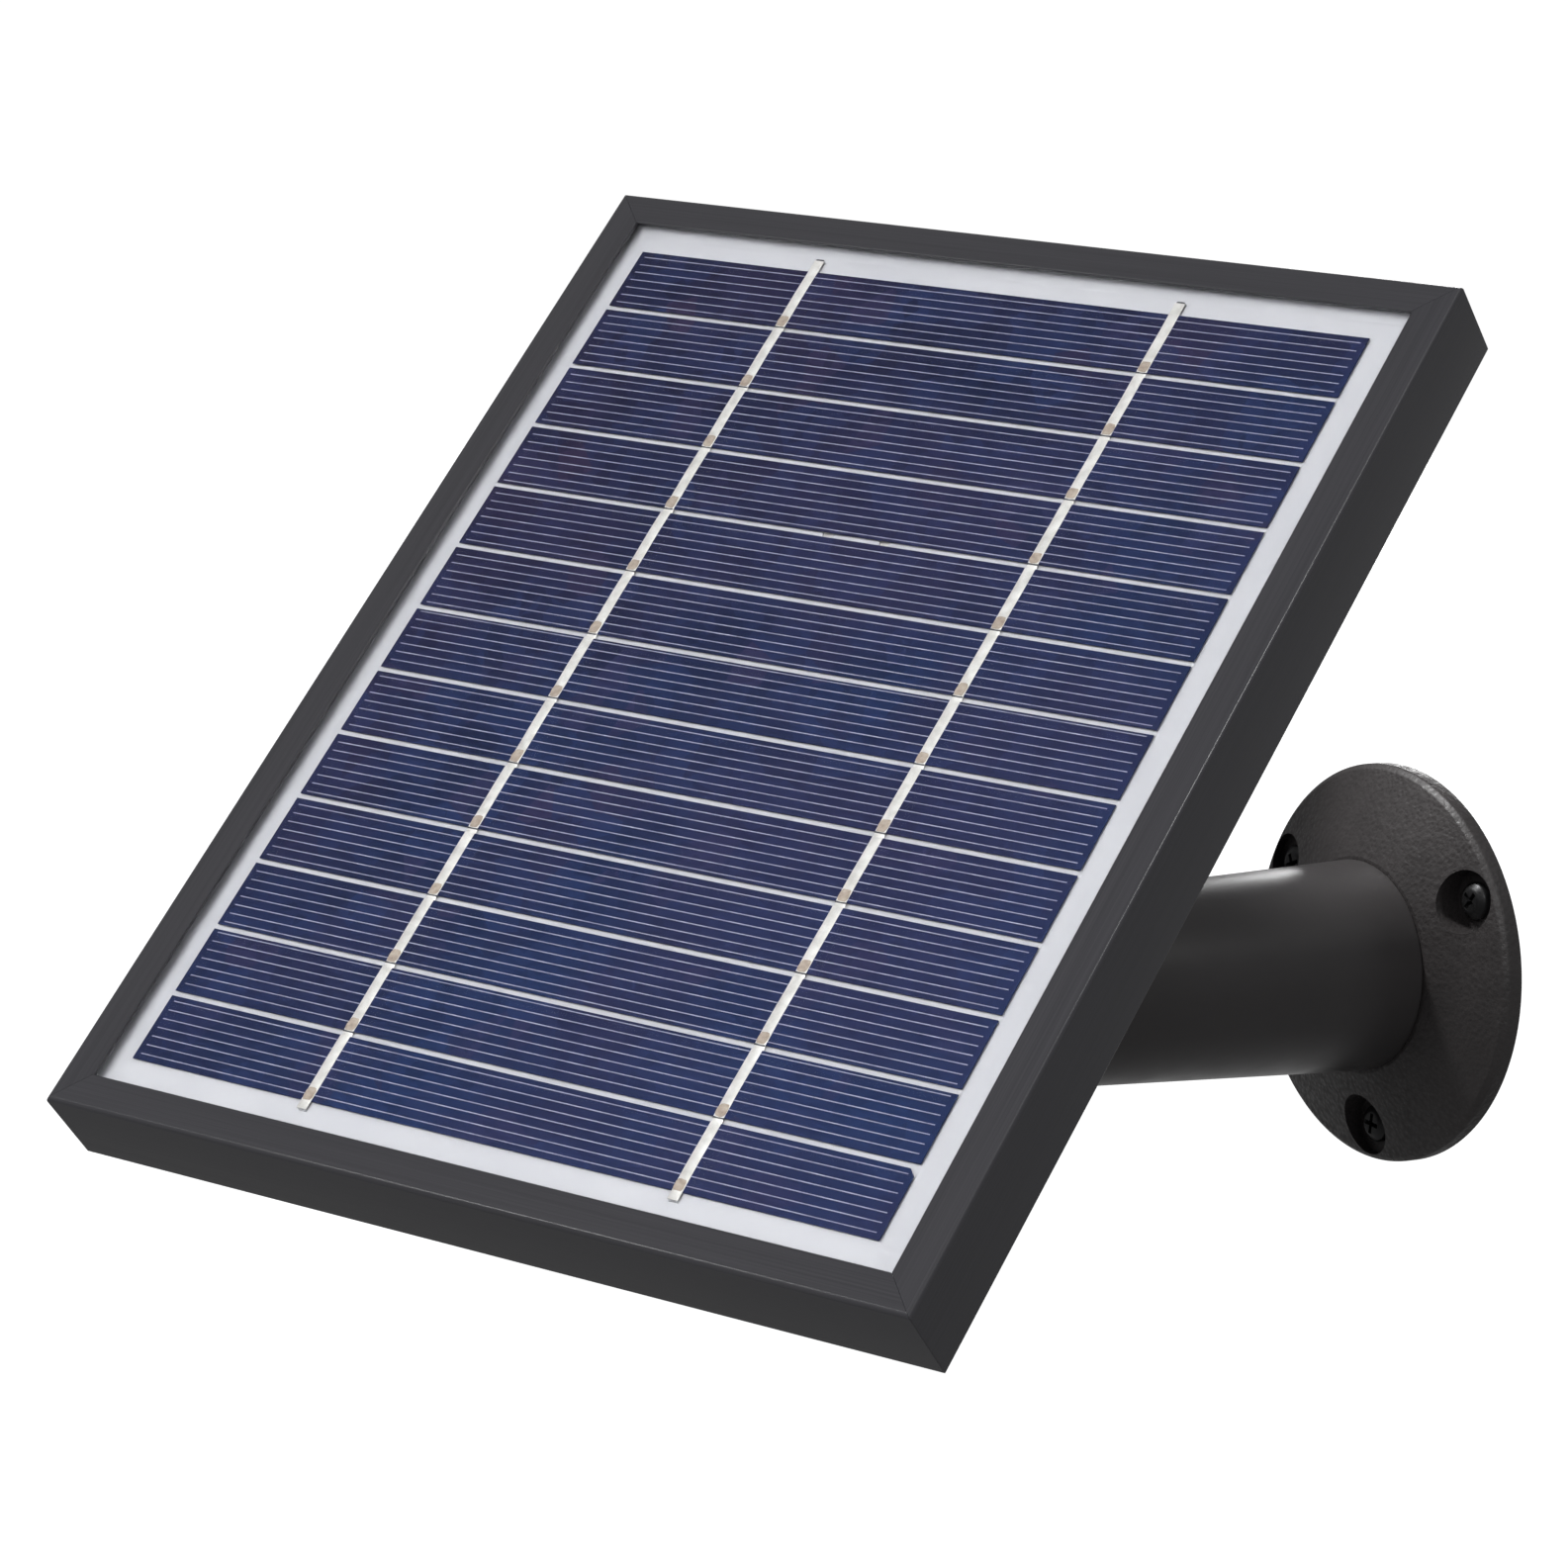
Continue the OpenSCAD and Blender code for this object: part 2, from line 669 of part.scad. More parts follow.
module board_screws() {
    color([0.6, 0.6, 0.62]) on_box() at_corners(pcb_hole_x, pcb_hole_y)
        translate([0, 0, pcb_z]) rotate([180, 0, 0]) pan_screw(2, 1.3, 0.85, 4.5);
}

// ---- cable gland: z points down the slope, out of the box ----

module at_gland() {
    on_panel() translate([gland_x, gland_y, gland_z]) rotate([90, 0, 0]) children();
}

module gland_body() {
    color([0.08, 0.08, 0.08]) at_gland() difference() {
        union() {
            translate([0, 0, -6]) cylinder(r = gland_r, h = 6 + eps, $fn = 64);
            cylinder(r = 7.5, h = 4, $fn = 6);
            translate([0, 0, 4 - eps]) cylinder(r = gland_r - 0.2, h = 5, $fn = 64);
        }
        translate([0, 0, -8]) cylinder(r = cable_r + 1.3, h = 20, $fn = 48);
    }
}

module gland_cap() {
    cap_base = 4.2;
    color([0.08, 0.08, 0.08]) at_gland() difference() {
        rotate_extrude() polygon([
            [0, cap_base], [6.8, cap_base], [6.8, cap_base + 6], [4.4, cap_base + 9.5], [0, cap_base + 9.5]
        ]);
        translate([0, 0, cap_base - 1]) cylinder(r = gland_r - 0.1, h = 6.5, $fn = 64);
        translate([0, 0, cap_base]) cylinder(r = cable_r + 0.6, h = 12, $fn = 48);
        around(14, 7.3) translate([0, 0, cap_base - 1]) cylinder(r = 0.8, h = 6, $fn = 16);
    }
}

module gland_seal() {
    color([0.15, 0.15, 0.15]) at_gland() difference() {
        translate([0, 0, -1]) cylinder(r = cable_r + 1.25, h = 9.9, $fn = 48);
        translate([0, 0, -2]) cylinder(r = cable_r, h = 20, $fn = 48);
    }
}

module gland_locknut() {
    color([0.08, 0.08, 0.08]) at_gland() translate([0, 0, -box_t - 3]) difference() {
        cylinder(r = 7.2, h = 2.9, $fn = 6);
        translate([0, 0, -1]) cylinder(r = gland_r + 0.05, h = 6, $fn = 64);
    }
}

wall_flange();
wall_screws();
arm();
arm_screws();
disc_springs();
pressure_cup();
locking_collar();
ball_stud();
jam_nut();
lock_washer();
foot();
foot_insert();
foot_screws();
backing_plate();
rail_top();
rail_bottom();
rail_left();
rail_right();
corner_keys();
glazing_seal();
front_glass();
front_encapsulant();
solar_cells();
tabbing_ribbons();
rear_encapsulant();
bus_ribbons();
backsheet();
lead_wires();
back_cover();
cover_screws();
junction_box();
box_screws();
box_lid();
lid_gasket();
lid_screws();
charge_board();
board_components();
board_screws();
gland_body();
gland_cap();
gland_seal();
gland_locknut();
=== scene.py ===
"""Looks for a framed solar panel on a wall arm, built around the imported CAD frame."""
import json
import math
import random

import bmesh
import bpy
import numpy as np
from mathutils import Matrix, Vector


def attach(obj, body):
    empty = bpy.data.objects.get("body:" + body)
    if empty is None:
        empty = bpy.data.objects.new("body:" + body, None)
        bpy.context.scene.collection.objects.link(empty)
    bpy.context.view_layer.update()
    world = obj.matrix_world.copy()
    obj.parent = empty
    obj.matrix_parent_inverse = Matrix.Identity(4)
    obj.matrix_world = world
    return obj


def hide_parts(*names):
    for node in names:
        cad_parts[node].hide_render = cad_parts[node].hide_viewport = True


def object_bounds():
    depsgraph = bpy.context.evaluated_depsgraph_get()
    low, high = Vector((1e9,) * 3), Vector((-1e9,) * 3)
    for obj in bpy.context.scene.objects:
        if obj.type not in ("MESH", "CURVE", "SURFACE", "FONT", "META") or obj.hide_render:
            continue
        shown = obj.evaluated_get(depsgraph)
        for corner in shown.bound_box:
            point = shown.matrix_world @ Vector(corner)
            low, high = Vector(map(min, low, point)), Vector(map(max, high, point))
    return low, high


MM = 0.001
TURN = 2 * math.pi

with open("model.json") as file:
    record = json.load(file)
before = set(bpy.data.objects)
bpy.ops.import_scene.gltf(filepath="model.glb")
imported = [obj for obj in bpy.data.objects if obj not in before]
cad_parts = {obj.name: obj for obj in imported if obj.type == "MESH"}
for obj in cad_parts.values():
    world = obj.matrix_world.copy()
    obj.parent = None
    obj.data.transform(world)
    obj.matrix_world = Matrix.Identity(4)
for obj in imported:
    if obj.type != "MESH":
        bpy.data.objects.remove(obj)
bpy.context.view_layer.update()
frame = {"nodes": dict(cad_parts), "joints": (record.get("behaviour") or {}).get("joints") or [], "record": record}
NODES = frame["nodes"]
JOINTS = {joint["name"]: joint for joint in frame["joints"]}


# ---- spaces: the arm's, the ball's and the panel's own axes, taken from the frame ----

def axes(x, y, z, origin):
    """The matrix of a space with these unit axes and this origin."""
    return Matrix([[x[i], y[i], z[i], origin[i]] for i in range(3)] + [[0, 0, 0, 1]])


def span(space, *names):
    """Lowest and highest corner of CAD nodes in a space's axes, in millimetres."""
    inverse = np.array(space.inverted())
    points = np.array([v.co for n in names for v in NODES[n].data.vertices])
    local = (points @ inverse[:3, :3].T + inverse[:3, 3]) / MM
    return local.min(0), local.max(0)


ARM = Matrix.Rotation(math.pi / 2, 4, "X")
BALL_CENTRE = Vector(JOINTS["panel_spin"]["pos_m"])
FACING = Vector(JOINTS["panel_spin"]["axis"]).normalized()
ACROSS = Vector((0, 0, 1)).cross(FACING).normalized()
BALL = axes(ACROSS, FACING.cross(ACROSS), FACING, BALL_CENTRE)
RAILS = ("rail_bottom", "rail_right", "rail_top", "rail_left")
RAIL_LOW, RAIL_HIGH = span(BALL, *RAILS)
PANEL_MIDDLE = [(RAIL_LOW[i] + RAIL_HIGH[i]) / 2 * MM for i in range(2)]
PANEL = BALL @ Matrix.Translation((*PANEL_MIDDLE, RAIL_LOW[2] * MM))
PANEL_W, PANEL_H, PANEL_D = (float(v) for v in RAIL_HIGH - RAIL_LOW)


# ---- mesh code: a part is (points in millimetres, faces) ----

def bridge(a, b):
    """Faces between two rings of point numbers; a ring of one point is a tip."""
    count = max(len(a), len(b))
    if count == 1:
        return []
    if len(a) == 1:
        return [(a[0], b[k], b[(k + 1) % count]) for k in range(count)]
    if len(b) == 1:
        return [(a[(k + 1) % count], a[k], b[0]) for k in range(count)]
    return [(a[k], b[k], b[(k + 1) % count], a[(k + 1) % count]) for k in range(count)]


def lathe(profile, count=96, shape=None):
    """A closed profile of (radius, z) turned about z. shape(r, z, angle) can move each point."""
    points = []
    rings = []
    for r, z in profile:
        first = len(points)
        if r < 1e-6:
            points.append((0, 0, z))
        else:
            for k in range(count):
                angle = TURN * k / count
                radius, height = shape(r, z, angle) if shape else (r, z)
                points.append((radius * math.cos(angle), radius * math.sin(angle), height))
        rings.append(range(first, len(points)))
    faces = []
    for i, ring in enumerate(rings):
        faces += bridge(ring, rings[(i + 1) % len(rings)])
    return points, faces


def loft(rings):
    """A closed skin through rings with the same number of points, capped at both ends."""
    count = len(rings[0])
    points = [p for ring in rings for p in ring]
    numbers = [range(i * count, (i + 1) * count) for i in range(len(rings))]
    faces = [tuple(reversed(numbers[0])), tuple(numbers[-1])]
    for a, b in zip(numbers, numbers[1:]):
        faces += bridge(a, b)
    return points, faces


def rounded(corners, segments=5):
    """A closed outline of (x, y, radius) corners with each corner rounded to its radius."""
    outline = []
    for i, (x, y, radius) in enumerate(corners):
        here = Vector((x, y))
        before = (Vector(corners[i - 1][:2]) - here).normalized()
        after = (Vector(corners[(i + 1) % len(corners)][:2]) - here).normalized()
        if radius <= 0:
            outline.append((x, y))
            continue
        half = before.angle(after) / 2
        middle = here + (before + after).normalized() * radius / math.sin(half)
        start = here + before * radius / math.tan(half) - middle
        end = here + after * radius / math.tan(half) - middle
        sweep = start.angle_signed(end)
        for k in range(segments + 1):
            turned = start.copy()
            turned.rotate(Matrix.Rotation(-sweep * k / segments, 2))
            outline.append(tuple(middle + turned))
    return outline


def oblong(width, height, radius, segments=6):
    """The outline of a rectangle with round corners about the origin."""
    x = width / 2
    y = height / 2
    return rounded([(-x, -y, radius), (x, -y, radius), (x, y, radius), (-x, y, radius)], segments)


def moved(part, *matrices):
    """The part once for each matrix, all in one."""
    points = []
    faces = []
    for matrix in matrices:
        first = len(points)
        points += [tuple(matrix @ Vector(p)) for p in part[0]]
        faces += [tuple(first + k for k in face) for face in part[1]]
    return points, faces


def joined(*parts):
    """Several parts in one."""
    points = []
    faces = []
    for part in parts:
        first = len(points)
        points += part[0]
        faces += [tuple(first + k for k in face) for face in part[1]]
    return points, faces


def at(x=0.0, y=0.0, z=0.0, turn=0.0):
    """A move to a place, after a turn about z in degrees."""
    return Matrix.Translation((x, y, z)) @ Matrix.Rotation(math.radians(turn), 4, "Z")


def around(count, radius, start, z=0.0):
    """Places evenly round a circle."""
    return [Matrix.Rotation(math.radians(start + k * 360 / count), 4, "Z") @ at(radius, 0, z)
            for k in range(count)]


FLIP = Matrix.Rotation(math.pi, 4, "X")


def raw_object(name, part, scale=1.0):
    """A mesh object with its faces turned outward."""
    mesh = bpy.data.meshes.new(name)
    mesh.from_pydata([tuple(c * scale for c in p) for p in part[0]], [], part[1])
    work = bmesh.new()
    work.from_mesh(mesh)
    bmesh.ops.recalc_face_normals(work, faces=work.faces)
    work.to_mesh(mesh)
    work.free()
    obj = bpy.data.objects.new(name, mesh)
    bpy.context.scene.collection.objects.link(obj)
    return obj


def carved(part, *cutters):
    """The part with the space of each cutter taken out of it."""
    whole = raw_object("whole", part)
    tools = [raw_object("tool", cutter) for cutter in cutters]
    for tool in tools:
        cut = whole.modifiers.new("cut", "BOOLEAN")
        cut.operation = "DIFFERENCE"
        cut.solver = "EXACT"
        cut.object = tool
    result = whole.evaluated_get(bpy.context.evaluated_depsgraph_get()).to_mesh()
    points = [tuple(v.co) for v in result.vertices]
    faces = [tuple(p.vertices) for p in result.polygons]
    for obj in [whole, *tools]:
        bpy.data.objects.remove(obj)
    return points, faces


def tidy_mesh(mesh, crease):
    """Merges doubled points, turns the faces outward and shades smooth between creases."""
    work = bmesh.new()
    work.from_mesh(mesh)
    bmesh.ops.remove_doubles(work, verts=work.verts, dist=1e-7)
    bmesh.ops.recalc_face_normals(work, faces=work.faces)
    for face in work.faces:
        face.smooth = True
    for edge in work.edges:
        flat = len(edge.link_faces) == 2 and edge.calc_face_angle() < math.radians(crease)
        edge.smooth = flat
    work.to_mesh(mesh)
    work.free()


def piece(name, part, space, body, finish, replaces=(), crease=38):
    """A finished mesh of the object, riding on its body."""
    obj = raw_object(name, part, MM)
    tidy_mesh(obj.data, crease)
    obj.matrix_world = space
    obj.data.materials.append(LOOKS[finish])
    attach(obj, body)
    if replaces:
        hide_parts(*replaces)
    return obj


# ---- materials ----

class Look:
    """A material's nodes. Lengths are in millimetres of the piece's own space."""

    def __init__(self, name, colour, roughness, metallic=0.0, specular=0.5):
        self.material = bpy.data.materials.new(name)
        self.material.use_nodes = True
        self.tree = self.material.node_tree
        self.shader = self.tree.nodes["Principled BSDF"]
        self.shader.inputs["Base Color"].default_value = (*colour, 1)
        self.shader.inputs["Roughness"].default_value = roughness
        self.shader.inputs["Metallic"].default_value = metallic
        self.shader.inputs["Specular IOR Level"].default_value = specular
        coordinates = self.add("ShaderNodeTexCoord")
        scaled = self.add("ShaderNodeVectorMath", operation="SCALE")
        scaled.inputs["Scale"].default_value = 1 / MM
        self.link(coordinates.outputs["Object"], scaled.inputs[0])
        self.place = scaled.outputs[0]

    def add(self, kind, **settings):
        node = self.tree.nodes.new(kind)
        for key, value in settings.items():
            setattr(node, key, value)
        return node

    def link(self, source, target):
        self.tree.links.new(source, target)

    def feed(self, socket, value):
        """Puts a number, a colour or another node's output into a socket."""
        if isinstance(value, bpy.types.NodeSocket):
            self.link(value, socket)
        elif isinstance(value, tuple):
            socket.default_value = (*value, 1)
        else:
            socket.default_value = value

    def stretched(self, x, y, z):
        """The place with each axis divided by its own length."""
        node = self.add("ShaderNodeVectorMath", operation="DIVIDE")
        self.link(self.place, node.inputs[0])
        node.inputs[1].default_value = (x, y, z)
        return node.outputs[0]

    def noise(self, size, detail=3.0, roughness=0.5, place=None):
        """Smooth noise from 0 to 1 with features about this long."""
        node = self.add("ShaderNodeTexNoise")
        node.inputs["Scale"].default_value = 1 / size
        node.inputs["Detail"].default_value = detail
        node.inputs["Roughness"].default_value = roughness
        self.link(place or self.place, node.inputs["Vector"])
        return node.outputs["Fac"]

    def cells(self, size, feature="F1", output="Distance"):
        """A Voronoi pattern with cells about this wide."""
        node = self.add("ShaderNodeTexVoronoi", feature=feature)
        node.inputs["Scale"].default_value = 1 / size
        self.link(self.place, node.inputs["Vector"])
        return node.outputs[output]

    def math(self, operation, a, b):
        node = self.add("ShaderNodeMath", operation=operation)
        self.feed(node.inputs[0], a)
        self.feed(node.inputs[1], b)
        return node.outputs[0]

    def ramp(self, value, low, high, start=0.0, end=1.0):
        """value from low..high mapped onto start..end and held at its ends."""
        node = self.add("ShaderNodeMapRange")
        for key, number in zip(("Value", "From Min", "From Max", "To Min", "To Max"),
                               (value, low, high, start, end)):
            self.feed(node.inputs[key], number)
        return node.outputs["Result"]

    def mix(self, share, a, b):
        """Colour a at share 0, colour b at share 1."""
        node = self.add("ShaderNodeMix", data_type="RGBA")
        self.feed(node.inputs[0], share)
        self.feed(node.inputs[6], a)
        self.feed(node.inputs[7], b)
        return node.outputs[2]

    def set(self, socket, value):
        self.feed(self.shader.inputs[socket], value)

    def bump(self, height, depth, strength=1.0):
        """Relief of the given depth in millimetres."""
        node = self.add("ShaderNodeBump")
        node.inputs["Strength"].default_value = strength
        node.inputs["Distance"].default_value = depth * MM
        self.link(height, node.inputs["Height"])
        self.link(node.outputs[0], self.shader.inputs["Normal"])

    def split_place(self):
        """The place's x, y and z, each on its own."""
        node = self.add("ShaderNodeSeparateXYZ")
        self.link(self.place, node.inputs[0])
        return node.outputs


def mottled(look, dark, light, size, detail=4.0):
    """Slow colour change over a surface."""
    look.set("Base Color", look.mix(look.ramp(look.noise(size, detail), 0.3, 0.7), dark, light))


def powder_coat():
    """Black powder coat with a fine leather-like grain."""
    look = Look("textured_black", (0.02, 0.02, 0.02), 0.5)
    grain = look.cells(0.85, "SMOOTH_F1")
    fine = look.noise(0.35, 2)
    broad = look.noise(2.2, 2)
    height = look.math("ADD", grain, look.math("MULTIPLY", fine, 0.5))
    height = look.math("ADD", height, look.math("MULTIPLY", broad, 0.8))
    look.bump(height, 0.15, 0.75)
    mottled(look, (0.032, 0.0285, 0.0285), (0.046, 0.041, 0.041), 9)
    look.set("Roughness", look.ramp(grain, 0.1, 0.7, 0.42, 0.62))
    return look.material


def satin_paint():
    """Smooth satin black paint with a slight orange peel."""
    look = Look("satin_black", (0.02, 0.02, 0.02), 0.42)
    peel = look.noise(1.6, 2)
    speck = look.noise(0.25, 1)
    look.bump(look.math("ADD", peel, look.math("MULTIPLY", speck, 0.25)), 0.03, 0.5)
    mottled(look, (0.051, 0.0475, 0.048), (0.06, 0.056, 0.0565), 22)
    look.set("Roughness", look.ramp(look.noise(6, 4), 0.3, 0.7, 0.31, 0.38))
    return look.material


def anodised():
    """Black anodised extrusion: faint lines along the rail and a bead-blasted sheen."""
    look = Look("black_anodised", (0.05, 0.05, 0.055), 0.42, 0.0, 0.3)
    lines = look.noise(1, 4, 0.6, look.stretched(70, 0.35, 0.35))
    blast = look.noise(0.22, 1)
    tone = look.ramp(lines, 0.35, 0.65)
    look.set("Base Color", look.mix(tone, (0.045, 0.0445, 0.05), (0.057, 0.056, 0.063)))
    look.set("Roughness", look.ramp(lines, 0.3, 0.7, 0.36, 0.46))
    look.set("Coat Weight", 0.4)
    look.set("Coat Roughness", 0.14)
    look.bump(look.math("ADD", lines, look.math("MULTIPLY", blast, 0.35)), 0.012, 0.5)
    return look.material


CELL_DARK = (0.0105, 0.0115, 0.032)
CELL_BLUE = (0.014, 0.021, 0.064)
CELL_VIOLET = (0.027, 0.0195, 0.048)
CELL_DEEP = (0.0065, 0.008, 0.022)
# painted light: the lighter blue mixed into the cells towards the lower right
CELL_PAINTED_LIGHT = (0.0145, 0.033, 0.1)


def silicon():
    """Polycrystalline silicon: crystal patches of slightly different tint, with painted light bluer to the lower
    right.
    """
    look = Look("silicon", (0.012, 0.016, 0.06), 0.32, 0.0, 0.06)
    grains = look.cells(7.5, "F1", "Color")
    small = look.cells(3.2, "F1", "Color")
    spread = look.add("ShaderNodeSeparateColor")
    look.link(grains, spread.inputs[0])
    finer = look.add("ShaderNodeSeparateColor")
    look.link(small, finer.inputs[0])
    tint = look.mix(spread.outputs[0], CELL_DARK, CELL_BLUE)
    tint = look.mix(look.ramp(spread.outputs[1], 0.82, 1, 0, 0.8), tint, CELL_VIOLET)
    tint = look.mix(look.ramp(finer.outputs[0], 0.6, 1, 0, 0.65), tint, CELL_DEEP)
    x, y, _ = look.split_place()
    # painted light: the cells turn lighter and bluer towards the lower right of the panel
    side = look.ramp(look.math("SUBTRACT", x, y), -120, 130)
    tint = look.mix(look.math("MULTIPLY", side, 0.55), tint, CELL_PAINTED_LIGHT)
    patch = look.ramp(look.noise(38, 3), 0.38, 0.62)
    tint = look.mix(look.math("MULTIPLY", patch, 0.35), tint, CELL_VIOLET)
    look.set("Base Color", tint)
    look.set("Roughness", look.ramp(finer.outputs[1], 0, 1, 0.28, 0.4))
    look.bump(look.noise(0.6, 2), 0.01, 0.3)
    return look.material


def silver_print():
    """Printed silver fingers, slightly uneven."""
    look = Look("silver_print", (0.3, 0.31, 0.42), 0.5, 0.0, 0.1)
    mottled(look, (0.17, 0.172, 0.245), (0.3, 0.303, 0.385), 4)
    return look.material


def tinned():
    """Tinned flat copper with slow waves in the solder."""
    look = Look("tinned_copper", (0.8, 0.78, 0.7), 0.4, 0.35)
    wave = look.noise(3, 3)
    mottled(look, (0.6, 0.585, 0.55), (0.8, 0.785, 0.75), 2.5)
    look.set("Roughness", look.ramp(wave, 0.3, 0.7, 0.3, 0.5))
    look.bump(wave, 0.06, 0.5)
    return look.material


def solder():
    """Dull solder with the residue of soldering over the ribbon joints."""
    look = Look("solder", (0.5, 0.4, 0.32), 0.5, 0.2)
    mottled(look, (0.3, 0.235, 0.19), (0.44, 0.38, 0.31), 0.9)
    look.bump(look.noise(0.8, 3), 0.05, 0.6)
    return look.material


def back_film():
    """White polyester film, faintly uneven from the press."""
    look = Look("white_backsheet", (0.58, 0.58, 0.62), 0.55, 0.0, 0.15)
    mottled(look, (0.475, 0.475, 0.5), (0.51, 0.51, 0.53), 30)
    look.bump(look.noise(0.7, 2), 0.01, 0.3)
    return look.material


def clear_glass():
    """Clear glass that lets the lamps reach what is under it."""
    look = Look("front_glass", (0.98, 0.99, 0.99), 0.0)
    look.tree.nodes.remove(look.shader)
    out = look.tree.nodes["Material Output"]
    glass = look.add("ShaderNodeBsdfGlass")
    glass.inputs["IOR"].default_value = 1.5
    glass.inputs["Roughness"].default_value = 0.0
    glass.inputs["Color"].default_value = (0.985, 0.99, 0.995, 1)
    clear = look.add("ShaderNodeBsdfTransparent")
    path = look.add("ShaderNodeLightPath")
    both = look.add("ShaderNodeMixShader")
    look.link(path.outputs["Is Shadow Ray"], both.inputs[0])
    look.link(glass.outputs[0], both.inputs[1])
    look.link(clear.outputs[0], both.inputs[2])
    look.link(both.outputs[0], out.inputs["Surface"])
    return look.material


def moulded(name, colour, grain=0.45, depth=0.05, roughness=0.5):
    """Spark-eroded moulded plastic."""
    look = Look(name, colour, roughness)
    texture = look.noise(grain, 2)
    look.bump(texture, depth, 0.5)
    lighter = tuple(c * 1.35 for c in colour)
    mottled(look, colour, lighter, 14)
    look.set("Roughness", look.ramp(texture, 0.3, 0.7, roughness - 0.06, roughness + 0.08))
    return look.material


def metal(name, colour, roughness, metallic=1.0, grain=0.4, tint=None):
    """Bare or plated metal with fine tool marks and a slow change of tint."""
    look = Look(name, colour, roughness, metallic)
    marks = look.noise(grain, 3)
    other = tint or tuple(c * 0.82 for c in colour)
    mottled(look, colour, other, 5)
    look.set("Roughness", look.ramp(marks, 0.3, 0.7, roughness * 0.8, roughness * 1.25))
    look.bump(marks, 0.008, 0.5)
    return look.material


def circuit():
    """Green solder mask over copper tracks."""
    look = Look("circuit_board", (0.01, 0.12, 0.05), 0.3)
    tracks = look.ramp(look.cells(3, "DISTANCE_TO_EDGE"), 0.05, 0.12)
    look.set("Base Color", look.mix(tracks, (0.03, 0.2, 0.09), (0.01, 0.11, 0.045)))
    look.bump(tracks, 0.03, 0.4)
    return look.material


LOOKS = {
    "textured_black": powder_coat(),
    "satin_black": satin_paint(),
    "black_anodised": anodised(),
    "silicon": silicon(),
    "silver_print": silver_print(),
    "tinned_copper": tinned(),
    "solder": solder(),
    # painted shadow: near-black for the shadows at the ribbon bends and ends
    "ribbon_shadow_black": moulded("ribbon_shadow_black", (0.05, 0.05, 0.055), 0.7, 0.02, 0.5),
    "white_backsheet": back_film(),
    "front_glass": clear_glass(),
    "collar_black": moulded("collar_black", (0.016, 0.016, 0.017), 0.6, 0.04, 0.45),
    "moulded_black": moulded("moulded_black", (0.018, 0.018, 0.019), 0.5, 0.07, 0.52),
    "acetal": moulded("acetal", (0.55, 0.54, 0.48), 0.8, 0.02, 0.35),
    "seal_rubber": moulded("seal_rubber", (0.015, 0.015, 0.016), 0.9, 0.03, 0.7),
    "wire_jacket": moulded("wire_jacket", (0.4, 0.02, 0.02), 0.8, 0.02, 0.35),
    "component_grey": moulded("component_grey", (0.03, 0.03, 0.033), 0.6, 0.03, 0.45),
    "circuit_board": circuit(),
    "black_screw": metal("black_screw", (0.03, 0.03, 0.031), 0.4, 0.6),
    "zinc_steel": metal("zinc_steel", (0.55, 0.56, 0.58), 0.32, 1.0, 0.4, (0.5, 0.52, 0.6)),
    "spring_steel": metal("spring_steel", (0.4, 0.4, 0.41), 0.3),
    "plated_steel": metal("plated_steel", (0.62, 0.62, 0.63), 0.14, 1.0, 0.8),
    "brass": metal("brass", (0.7, 0.5, 0.2), 0.3),
    "raw_aluminium": metal("raw_aluminium", (0.6, 0.61, 0.62), 0.38),
}


# ---- shared shapes ----

SQUARE = ((-1, -1), (1, -1), (1, 1), (-1, 1))


def drum(radius, low, high, count=48):
    """A plain round bar, used to cut holes."""
    return lathe([(0, low), (radius, low), (radius, high), (0, high)], count)


def block(x, y, low, high, taper=1.0):
    """A bar of rectangular section, narrowed by taper at its low end."""
    small = [(a * x * taper / 2, b * y * taper / 2, low) for a, b in SQUARE]
    large = [(a * x / 2, b * y / 2, high) for a, b in SQUARE]
    return loft([small, large])


def thread(depth_share, pitch):
    """A shape for lathe that winds a ridge round the bar."""
    def shape(r, z, angle):
        turn = (z / pitch - angle / TURN) % 1.0
        return r * (1 - depth_share * abs(2 * turn - 1)), z
    return shape


def threaded(radius, low, high, pitch, tip=0.0, count=32):
    """A threaded bar from low to high, pointed over the last tip at its low end."""
    rows = int((high - low) / pitch * 8)
    profile = [(0, low)]
    for k in range(rows + 1):
        z = low + (high - low) * k / rows
        reach = min(1.0, 0.12 + (z - low) / tip) if tip else 1.0
        profile.append((radius * reach, z))
    profile.append((0, high))
    return lathe(profile, count, thread(min(0.16, 0.4 * pitch / radius), pitch))


def screw(head_r, head_h, shank_r, length, pitch, tip=0.0):
    """A cross-head screw along -z with the underside of its head at z = 0."""
    head = lathe(rounded([(0, 0, 0), (head_r, 0, head_r * 0.06), (head_r, head_h * 0.55, head_h * 0.4),
                          (head_r * 0.6, head_h, head_h * 0.5), (0, head_h, 0)]), 56)
    slot = block(head_r * 1.16, head_r * 0.25, head_h * 0.2, head_h * 1.1, 0.55)
    cross = moved(slot, at(turn=90))
    return joined(carved(head, slot, cross), threaded(shank_r, -length, 0.02, pitch, tip))


def hexagon(corner_r, low, high, bore=0.0):
    """A hexagon nut or head with chamfered corners; a corner points along +x."""
    flat = corner_r * math.cos(TURN / 12)
    rim = flat * 0.985

    def shape(r, z, angle):
        if r < corner_r - 1e-6:
            return r, z
        reach = flat / math.cos(angle % (TURN / 6) - TURN / 12)
        drop = max(0.0, reach - rim) * math.tan(TURN / 12)
        return reach, (z - drop if z > (low + high) / 2 else z + drop)

    profile = [(bore, low), (rim, low), (corner_r, low), (corner_r, high), (rim, high), (bore, high)]
    return lathe(profile, 72, shape)


# ---- wall flange and arm ----

